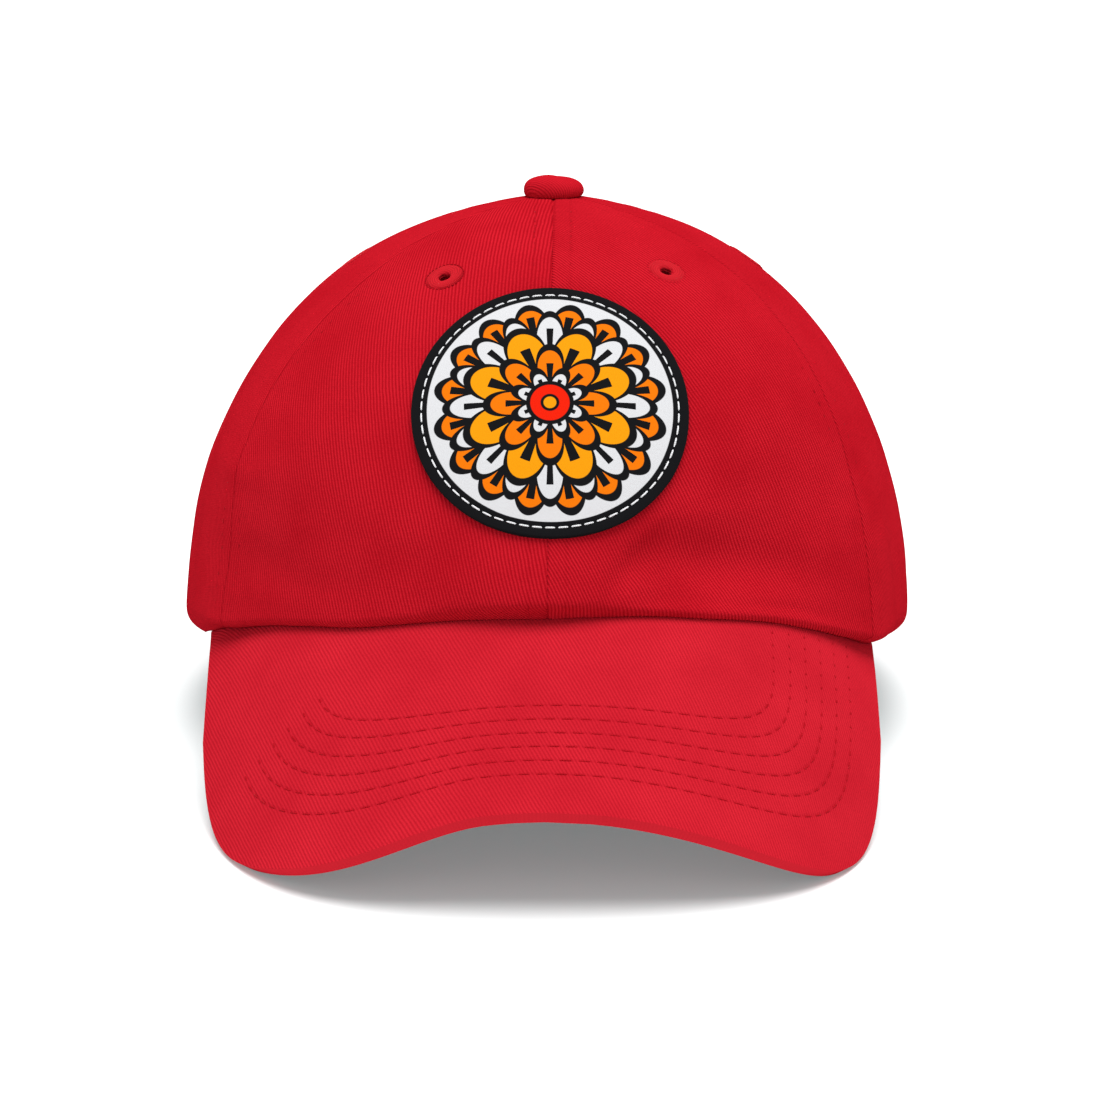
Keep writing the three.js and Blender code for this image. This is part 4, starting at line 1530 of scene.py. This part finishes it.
@dataclass
class Visor:
    """The curved peak: a thin board in the same twill, with rows of stitches, sizes in mm."""

    cloths: Cloths
    wall: float = 3.0
    columns: int = 170
    rows_across: int = 90
    rows = 6
    row_pitch = 4.8
    first_half: float = 57.5
    first_reach: float = 29.7
    left_power: float = 2.9
    right_power: float = 3.4
    stitch_pitch: float = 4.3
    stitch_share: float = 0.78
    left_worn: float = 8.0
    worn_step: float = 0.45
    worn_over: float = 6.0
    right_least: float = 0.3
    thread: float = 0.42
    sunk: float = 0.02
    edge_round: float = 1.2
    front_closer: float = 1.15

    def build(self) -> None:
        """Build the covered board and its stitch rows on both faces."""
        piece = cloth_grid("visor_cloth", self.columns, self.rows_across, self._surface,
                           self.cloths.visor)
        thicken(piece, self.wall, self.edge_round, self.cloths.visor_edge)
        ride(piece, "cotton_twill", "visor")
        self._stitches()

    def row_distance(self, across: np.ndarray, reach: np.ndarray) -> np.ndarray:
        """How far outside the innermost row a place on the flat pattern lies, in mm.

        Args:
            across: place across the flat pattern in mm.
            reach: place along the flat pattern, towards the front, in mm.

        Returns:
            The distance in mm.
        """
        low, high = np.full_like(across, -28.0), np.full_like(across, 60.0)
        power = np.where(across < 0, self.left_power, self.right_power)
        for _ in range(24):
            middle = (low + high) / 2
            wide = (np.abs(across) / (self.first_half + middle)) ** power
            deep = (np.clip(reach, 0, None) / (self.first_reach + middle)) ** power
            outside = wide + deep > 1.0
            low, high = np.where(outside, middle, low), np.where(outside, high, middle)
        return (low + high) / 2

    def _surface(self, u: np.ndarray, v: np.ndarray) -> tuple[Points, np.ndarray, np.ndarray]:
        """Lay the visor's grid between its outer edge and the seam under the hem.

        Args:
            u: share of the way across the grid for each vertex, from 0 to 1.
            v: share of the way along the grid for each vertex, from 0 to 1.

        Returns:
            The surface at the grid's vertices.
        """
        along = 2.0 * u - 1.0
        across_out, reach_out = HAT.visor_edge(along)
        temple = np.where(along < 0, HAT.left_temple, HAT.right_temple)
        across_in, reach_in = HAT.visor_flat(*HAT.hem_point(along * temple, HAT.under_hem))
        share = v ** self.front_closer
        across, reach = mix(across_out, across_in, share), mix(reach_out, reach_in, share)
        distance = self.row_distance(across, reach)
        points = HAT.visor_point(across, reach)
        depth = self._shown(across, reach, distance)
        return points, np.stack((across, -reach), -1), np.stack((distance, depth), -1)

    def _shown(self, across: np.ndarray, reach: np.ndarray, distance: np.ndarray) -> np.ndarray:
        """How much of the rows shows at each place: they are worn away towards the temples.

        Args:
            across: place across the flat pattern in mm.
            reach: place along the flat pattern, towards the front, in mm.
            distance: distance outside the innermost row in mm.

        Returns:
            The share that shows, from 0 to 1.
        """
        row = self.worn_step * np.clip(distance, 0, None)
        left = smooth((reach - self.left_worn - row) / self.worn_over)
        right = mix(self.right_least, 1.0, smooth((reach - 2.0) / 20.0))
        return np.where(across < 0, left, right)

    def _normal(self, across: np.ndarray, reach: np.ndarray) -> Points:
        """Upward directions of the visor's top surface.

        Args:
            across: place across the flat pattern in mm.
            reach: place along the flat pattern, towards the front, in mm.

        Returns:
            The directions, each of length 1.
        """
        step = 0.5
        right = HAT.visor_point(across + step, reach) - HAT.visor_point(across - step, reach)
        back = HAT.visor_point(across, reach - step) - HAT.visor_point(across, reach + step)
        return unit(np.cross(right, back))

    def _stitches(self) -> None:
        """Sew the rows on the top and the underside."""
        top, under = StitchRun.empty(), StitchRun.empty()
        for row in range(self.rows):
            half = self.first_half + row * self.row_pitch
            deep = self.first_reach + row * self.row_pitch
            turn = np.linspace(-np.pi / 2, np.pi / 2, 500)
            power = 2.0 / np.where(turn < 0, self.left_power, self.right_power)
            across = half * np.sign(turn) * np.abs(np.sin(turn)) ** power
            reach = deep * np.clip(np.cos(turn), 0, None) ** power
            back = np.linspace(-60.0, -0.5, 120)
            across = np.concatenate((np.full(120, -half), across, np.full(120, half)))
            reach = np.concatenate((back, reach, back[::-1]))
            points = HAT.visor_point(across, reach)
            azimuth = np.degrees(np.arctan2(points[:, 0], -points[:, 1]))
            seam_x, seam_y = HAT.hem_point(azimuth)
            keep = np.hypot(points[:, 0], points[:, 1]) > np.hypot(seam_x, seam_y) + 0.4
            normal = self._normal(across, reach)
            shown = self.stitch_share * self._shown(across, reach, row * self.row_pitch)
            seen = keep & (shown > 0.1)
            top.add_line(points[seen], normal[seen], self.stitch_pitch, shown[seen])
            below = points - normal * self.wall
            under.add_line(below[keep], -normal[keep], self.stitch_pitch, self.stitch_share)
        for name, run in (("visor_stitches", top), ("visor_under_stitches", under)):
            ride(run.build(name, self.thread, -self.sunk, self.cloths.seam_thread), "eyelet_thread")


@dataclass
class Button:
    """The cloth-covered button on top of the crown, sizes in mm."""

    cloths: Cloths
    radius: float = 7.6
    height: float = 5.5
    clearance: float = 0.5
    fullness: float = 2.7
    roll: float = 3.5
    rim_gap: float = 0.05
    shank_radius: float = 2.3
    shank_length: float = 3.0

    def build(self) -> None:
        """Spin the button's profile and set it on the crown."""
        # Radius and height, from the shank's foot out under the rim and over the top
        profile = [(0.0, -self.shank_length), (self.shank_radius, -self.shank_length),
                   (self.shank_radius, 0.1), (self.radius - 1.6, 0.0), (self.radius - 0.8, 0.12),
                   (self.radius - 0.35, 0.6), (self.radius - 0.08, 1.3)]
        power = 2.0 / self.fullness
        for turn in np.linspace(0.04, np.pi / 2, 16):
            profile.append((self.radius * math.cos(turn) ** power if turn < 1.57 else 0.0,
                            1.6 + (self.height - 1.6) * math.sin(turn) ** power))
        bm = spun(profile, 64)
        local = np.array([vert.co[:] for vert in bm.verts])
        local[:, 2] += 0.12 * np.clip(local[:, 2] / self.height, 0, 1) * np.cos(
            3 * np.arctan2(local[:, 1], local[:, 0]))
        turn = math.radians(self.roll)
        x = local[:, 0] * math.cos(turn) + local[:, 2] * math.sin(turn) + HAT.lean
        z = local[:, 2] * math.cos(turn) - local[:, 0] * math.sin(turn)
        z = z + HAT.height + self.clearance
        side = np.hypot(local[:, 0], local[:, 1])
        crown = HAT.height * (1.0 - (side / HAT.half_width) ** 2) ** 0.5 + HAT.peaked(side)
        low = crown + self.rim_gap + local[:, 2]
        rim = np.where(side > self.shank_radius + 0.1, 1.0 - smooth(local[:, 2] / 3.5), 0.0)
        points = np.stack((x, local[:, 1], mix(z, low, rim)), -1)
        drop = np.clip(self.height - local[:, 2], 0, None)
        cloth = local[:, :2] * (1.0 + drop / np.maximum(side, 1.0))[:, None]
        move_verts(bm, HAT.to_world(points))
        piece = finish_object("button_cloth", bm, [self.cloths.button])
        set_uv(piece.data, "Cloth", cloth)
        set_uv(piece.data, "Seam", np.full((len(cloth), 2), 9.0))
        ride(piece, "cotton_twill", "button")


@dataclass
class Patch:
    """The round patch on the front, sewn down just inside its edge, sizes in mm."""

    cloths: Cloths
    radius: float = 32.9
    wall: float = 1.5
    clearance: float = 0.3
    centre_height: float = 61.0
    centre_x: float = 0.7
    stitch_inset: float = 2.5
    stitch_dip: float = 0.28
    stitch_pitch: float = 3.1
    stitch_share: float = 0.82
    thread: float = 0.42
    edge_round: float = 0.45

    def build(self) -> None:
        """Build the printed disc and its stitches."""
        # Radius and height: the face, the dip under the stitches, the round edge and the back
        profile = [(share * (self.radius - 4.0), self.wall) for share in np.linspace(0, 1, 30)]
        for inset in (3.4, 3.0, 2.5, 2.0, 1.5, 1.0):
            dip = self.stitch_dip * math.exp(-((inset - self.stitch_inset) / 0.55) ** 2)
            profile.append((self.radius - inset, self.wall - dip))
        for turn in np.linspace(0, np.pi / 2, 5):
            profile.append((self.radius - self.edge_round * (1 - math.sin(turn)),
                            self.wall - self.edge_round * (1 - math.cos(turn))))
        profile.append((self.radius, 0.1))
        profile += [(share * self.radius, 0.0) for share in (0.97, 0.6, 0.3, 0.0)]
        bm = spun(profile, 160)
        flat = np.array([vert.co[:] for vert in bm.verts])
        points, _ = self.laid(flat)
        move_verts(bm, HAT.to_world(points))
        piece = finish_object("patch_cloth", bm, [self.cloths.patch])
        set_uv(piece.data, "Cloth", flat[:, :2])
        ride(piece, "patch_cloth", "patch")
        self._stitches()

    def laid(self, flat: Points) -> tuple[Points, Points]:
        """Lay flat places of the patch on the crown.

        Args:
            flat: across, up and out of the patch, in mm.

        Returns:
            The points and the crown's directions there.
        """
        at, height = np.array([0.0]), np.array([self.centre_height])
        centre = HAT.crown_point(at, height)[0]
        centre[0] = self.centre_x
        facing = HAT.crown_normal(at, height)[0]
        facing[0] = 0.0
        facing = unit(facing)
        upwards = -np.cross(np.array([1.0, 0.0, 0.0]), facing)
        starts = centre + flat[:, 0:1] * np.array([1.0, 0.0, 0.0]) + flat[:, 1:2] * upwards
        azimuth, z = HAT.land(starts, facing)
        normal = HAT.crown_normal(azimuth, z)
        points = HAT.crown_point(azimuth, z) + normal * (self.clearance + flat[:, 2:3])
        return points, normal

    def _stitches(self) -> None:
        """Sew the white row round the patch."""
        turn = np.linspace(0, 2 * np.pi, 400)
        ring = self.radius - self.stitch_inset
        flat = np.stack((ring * np.cos(turn), ring * np.sin(turn),
                         np.full_like(turn, self.wall - self.stitch_dip)), -1)
        points, normal = self.laid(flat)
        run = StitchRun.empty()
        run.add_line(points, normal, pitch=self.stitch_pitch, share=self.stitch_share)
        piece = run.build("patch_stitches", self.thread, 0.15, self.cloths.white_thread)
        ride(piece, "patch_cloth")


@dataclass
class Sweatband:
    """The cotton band inside the lower edge, sizes in mm."""

    cloths: Cloths
    width: float = 28.0
    wall: float = 1.2
    clearance: float = 0.4
    above_hem: float = 2.5
    end: float = 147.0
    mean_radius: float = 90.0

    def build(self) -> None:
        """Build the band."""
        def surface(u: np.ndarray, v: np.ndarray) -> tuple[Points, np.ndarray, np.ndarray]:
            """Stand the band against the inside of the crown.

            Args:
                u: share of the way across the grid for each vertex, from 0 to 1.
                v: share of the way along the grid for each vertex, from 0 to 1.

            Returns:
                The surface at the grid's vertices.
            """
            azimuth = mix(-self.end, self.end, u)
            low = HAT.hem_height(azimuth) + self.above_hem
            radius = HAT.crown_reach(azimuth) - HAT.hem_roll(azimuth)
            for share in np.linspace(0, 1, 9):
                radius = np.minimum(radius, HAT.crown_radius(azimuth, low + share * self.width))
            radius = radius - HAT.wall * 1.1 - self.clearance
            points = around_axis(azimuth, radius, low + v * self.width)
            cloth = np.stack((np.radians(azimuth) * self.mean_radius, v * self.width), -1)
            edge = np.minimum(v, 1 - v) * self.width
            return points, cloth, np.stack((edge, np.ones_like(edge)), -1)

        piece = cloth_grid("sweatband_cloth", 260, 16, surface, self.cloths.band)
        thicken(piece, self.wall, 0.3)
        ride(piece, "sweatband_cotton", "sweatband")
        declare_cloth(piece, self.width)


@dataclass
class Closure:
    """The rear opening's binding and the strap across it, sizes in mm."""

    cloths: Cloths
    opening_half = 38.0
    straight = 8.0
    arch = 36.0
    cut_back = 1.8
    strap_width: float = 20.0
    strap_wall: float = 1.6
    strap_clearance: float = 0.4
    strap_above: float = 3.5
    strap_half_angle: float = 30.0
    mean_radius: float = 98.0
    thread: float = 0.4
    stitch_inset: float = 2.3
    groove_shift: float = 2.2
    binding_width: float = 7.0
    tape_width: float = 18.0

    @classmethod
    def base(cls) -> float:
        """Height of the floor under the rearmost point of the crown, in the hat's frame."""
        return float(HAT.rest_height(np.array(HAT.rear_depth)))

    @classmethod
    def in_opening(cls, points: Points, grow: float = 0.0) -> np.ndarray:
        """Say which points in the hat's frame lie in the rear opening, or within grow of it.

        Args:
            points: points in the hat's frame in mm.
            grow: how far outside the opening still counts, in mm.

        Returns:
            For each point, whether it lies there.
        """
        spring = cls.base() + cls.straight
        aside = np.abs(points[:, 0]) / (cls.opening_half + grow)
        above = np.clip(points[:, 2] - spring, 0, None) / (cls.arch + grow)
        return (points[:, 1] > 40.0) & (aside ** 2 + above ** 2 < 1.0)

    def build(self) -> None:
        """Build the binding, the strap and its stitches."""
        self._binding()
        self._strap()

    def _rim(self, count: int) -> tuple[np.ndarray, np.ndarray, Points]:
        """Places along the opening's edge.

        Args:
            count: number of places.

        Returns:
            The azimuths, the heights and the directions away from the opening.
        """
        spring = self.base() + self.straight
        turn = np.linspace(0, np.pi, count)
        x = np.concatenate((np.full(8, self.opening_half), self.opening_half * np.cos(turn),
                            np.full(8, -self.opening_half)))
        rise = np.linspace(0.4, self.straight - 0.4, 8)
        z = np.concatenate((self.base() + rise, spring + self.arch * np.sin(turn),
                            self.base() + rise[::-1]))
        azimuth = np.full_like(x, 180.0)
        for _ in range(8):
            radius = HAT.crown_radius(azimuth, z)
            azimuth = 180.0 - np.degrees(np.arcsin((x - HAT.leaning(z)) / radius))
        tangent = np.stack((np.gradient(x), np.gradient(z)), -1)
        away = unit(np.stack((tangent[:, 1], -tangent[:, 0]), -1))
        return azimuth, z, away

    def _binding(self) -> None:
        """Fold a tape of the same cloth over the opening's edge."""
        count = 180
        azimuth, z, away = self._rim(count)
        base = HAT.crown_point(azimuth, z)
        normal = HAT.crown_normal(azimuth, z)
        outward = np.stack((away[:, 0], np.zeros(len(away)), away[:, 1]), -1)
        outward = unit(outward - normal * np.sum(outward * normal, -1, keepdims=True))
        # The tape's section: away from the opening and out of the cloth, in mm
        half = HAT.wall / 2
        section = [(self.binding_width, 0.35), (self.binding_width * 0.6, 0.5), (1.2, 0.65)]
        section += [(-0.9 * math.sin(turn), -half + (half + 0.65) * math.cos(turn))
                    for turn in np.linspace(0.2, np.pi - 0.2, 7)]
        section += [(1.2, -HAT.wall - 0.65), (self.binding_width * 0.6, -HAT.wall - 0.5),
                    (self.binding_width, -HAT.wall - 0.35)]
        profile = np.array(section)
        length = way_along(base)

        def surface(u: np.ndarray, v: np.ndarray) -> tuple[Points, np.ndarray, np.ndarray]:
            """Lay the tape's grid along the edge.

            Args:
                u: share of the way across the grid for each vertex, from 0 to 1.
                v: share of the way along the grid for each vertex, from 0 to 1.

            Returns:
                The surface at the grid's vertices.
            """
            at = u * (len(base) - 1)
            step = np.arange(len(base))
            out, lift = read_rows(v * (len(profile) - 1), np.arange(len(profile)), profile).T
            rim, away_from, up_from = (read_rows(at, step, data) for data in (base, outward, normal))
            points = rim + away_from * out[:, None] + up_from * lift[:, None]
            way = np.interp(at, step, length)
            return points, np.stack((way, out + lift), -1), np.stack((out, np.ones_like(out)), -1)

        piece = cloth_grid("rear_binding", 240, 24, surface, self.cloths.band)
        thicken(piece, -0.4)
        ride(piece, "cotton_twill")
        declare_cloth(piece, self.tape_width)
        run = StitchRun.empty()
        run.add_line(base + outward * (self.binding_width - 1.4) + normal * 0.45, normal)
        stitches = run.build("binding_stitches", self.thread, 0.12, self.cloths.seam_thread)
        ride(stitches, "eyelet_thread")

    def strap_radius(self, azimuth: np.ndarray) -> np.ndarray:
        """Distance of the strap's outer face from the crown's axis.

        Args:
            azimuth: angle round the crown from the front in degrees, positive to the right.

        Returns:
            The distance in mm.
        """
        low = np.full_like(azimuth, self.base() + self.strap_above)
        narrow = np.minimum(HAT.crown_radius(azimuth, low),
                            HAT.crown_radius(azimuth, low + self.strap_width))
        return narrow - HAT.wall - self.strap_clearance

    def _strap(self) -> None:
        """Build the strap with two rows of stitches along it."""
        low = self.base() + self.strap_above

        def surface(u: np.ndarray, v: np.ndarray) -> tuple[Points, np.ndarray, np.ndarray]:
            """Stand the strap upright inside the rear panels.

            Args:
                u: share of the way across the grid for each vertex, from 0 to 1.
                v: share of the way along the grid for each vertex, from 0 to 1.

            Returns:
                The surface at the grid's vertices.
            """
            azimuth = mix(180 - self.strap_half_angle, 180 + self.strap_half_angle, u)
            points = around_axis(azimuth, self.strap_radius(azimuth), low + v * self.strap_width)
            cloth = np.stack((np.radians(azimuth) * self.mean_radius, v * self.strap_width), -1)
            edge = np.minimum(v, 1 - v) * self.strap_width + self.groove_shift
            return points, cloth, np.stack((edge, np.ones_like(edge)), -1)

        piece = cloth_grid("closure_strap_cloth", 120, 24, surface, self.cloths.crown)
        thicken(piece, self.strap_wall, 0.5)
        ride(piece, "cotton_twill", "closure_strap")
        declare_cloth(piece, self.strap_width)
        run = StitchRun.empty()
        azimuth = np.linspace(180 - self.strap_half_angle + 1, 180 + self.strap_half_angle - 1, 160)
        normal = around_axis(azimuth, np.ones_like(azimuth), np.zeros_like(azimuth))
        for offset in (self.stitch_inset, self.strap_width - self.stitch_inset):
            height = np.full_like(azimuth, low + offset)
            run.add_line(around_axis(azimuth, self.strap_radius(azimuth), height), normal)
        stitches = run.build("strap_stitches", self.thread, 0.04, self.cloths.seam_thread)
        ride(stitches, "eyelet_thread")


# Studio

@dataclass
class Studio:
    """A pale floor, soft lights and the camera, in the hat's frame where it rests."""

    elevation: float = 10.0
    distance: float = 1400.0
    pixels_per_mm: float = 3.924
    picture: float = 1100.0
    origin_px: tuple[float, float] = (547.0, 601.0)
    sensor: float = 36.0
    floor_tone: str = "#dcdcdc"
    # The floor's glow and its cyan tint are painted light that lifts and greys the shadows on it
    shadow_lift_tint: str = "#d4fdfd"
    floor_glow: float = 0.19
    world_strength: float = 0.6
    sun_strength: float = 3.9
    sun_angle: float = 48.0
    sun_from: tuple[float, float, float] = (0.1, -0.15, 1.9)
    fill_strength: float = 0.5
    fill_angle: float = 60.0
    fill_from: tuple[float, float, float] = (0.0, -1.9, 0.5)

    def build(self) -> None:
        """Build the floor, the lights, the background and the camera."""
        self._floor()
        self._camera()
        self._world()
        self._soft_light("soft_box_above", self.sun_strength, self.sun_angle, self.sun_from)
        self._soft_light("soft_box_front", self.fill_strength, self.fill_angle, self.fill_from)

    def _floor(self) -> None:
        """Lay a large pale floor whose slight glow is painted light: it lifts the shadows on it, and
        the glow's cyan tint cancels the red light that the hat throws there.
        """
        bm = bmesh.new()
        bmesh.ops.create_grid(bm, x_segments=1, y_segments=1, size=12.0)
        material, shader, _ = new_material("white_paper")
        set_inputs(material, shader, {
            "Base Color": srgb(self.floor_tone),
            "Emission Color": srgb(self.shadow_lift_tint),
            "Emission Strength": self.floor_glow,
            "Roughness": 0.95,
            "Specular IOR Level": 0.1,
        })
        floor = finish_object("floor", bm, [material], smooth_faces=False)

    def _camera(self) -> None:
        """Place the camera at the photograph's angle to the hat."""
        pitch = math.radians(self.elevation + HAT.tilt)
        origin = Vector(HAT.to_world(np.zeros(3)))
        back = Vector((0.0, -math.cos(pitch), math.sin(pitch)))
        focal = self.pixels_per_mm * self.distance
        data = bpy.data.cameras.new("camera")
        data.sensor_width = self.sensor
        data.lens = focal / self.picture * self.sensor
        data.shift_x = (self.picture / 2 - self.origin_px[0]) / self.picture
        data.shift_y = (self.origin_px[1] - self.picture / 2) / self.picture
        data.clip_end = 50.0
        camera = bpy.data.objects.new("camera", data)
        camera.location = origin + back * self.distance * MM
        camera.rotation_euler = back.to_track_quat("Z", "Y").to_euler()
        bpy.context.scene.collection.objects.link(camera)
        bpy.context.scene.camera = camera

    def _world(self) -> None:
        """Light the scene evenly from a white background."""
        world = bpy.data.worlds.new("studio")
        world.use_nodes = True
        world.node_tree.nodes["Background"].inputs["Color"].default_value = srgb("#ffffff")
        world.node_tree.nodes["Background"].inputs["Strength"].default_value = self.world_strength
        bpy.context.scene.world = world
        bpy.context.scene.view_settings.view_transform = "Standard"

    @staticmethod
    def _soft_light(name: str, strength: float, angle: float,
                    place: tuple[float, float, float]) -> None:
        """Add one very broad light, like a large soft box.

        Args:
            name: the light's name.
            strength: its strength in watts per square metre.
            angle: its width as seen from the hat, in degrees.
            place: where it shines from, in metres.
        """
        data = bpy.data.lights.new(name, "SUN")
        data.energy = strength
        data.angle = math.radians(angle)
        lamp = bpy.data.objects.new(name, data)
        lamp.location = place
        lamp.rotation_euler = Vector(place).to_track_quat("Z", "Y").to_euler()
        bpy.context.scene.collection.objects.link(lamp)


def dress_buckle(cloths: Cloths) -> None:
    """Give the slide's own solid its brass finish.

    Args:
        cloths: the hat's finishes.
    """
    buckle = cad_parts["closure_buckle"]
    buckle.data.materials.clear()
    buckle.data.materials.append(cloths.brass)
    LOG.info("dressed %s", buckle.name)


def main() -> None:
    """Build the hat piece by piece, then the studio round it."""
    logging.basicConfig(level=logging.INFO, format="%(name)s: %(message)s")
    cloths = Cloths.make()
    Crown(cloths).build()
    Visor(cloths).build()
    Button(cloths).build()
    Patch(cloths).build()
    Sweatband(cloths).build()
    Closure(cloths).build()
    dress_buckle(cloths)
    Studio().build()


if __name__ == "__main__":
    main()
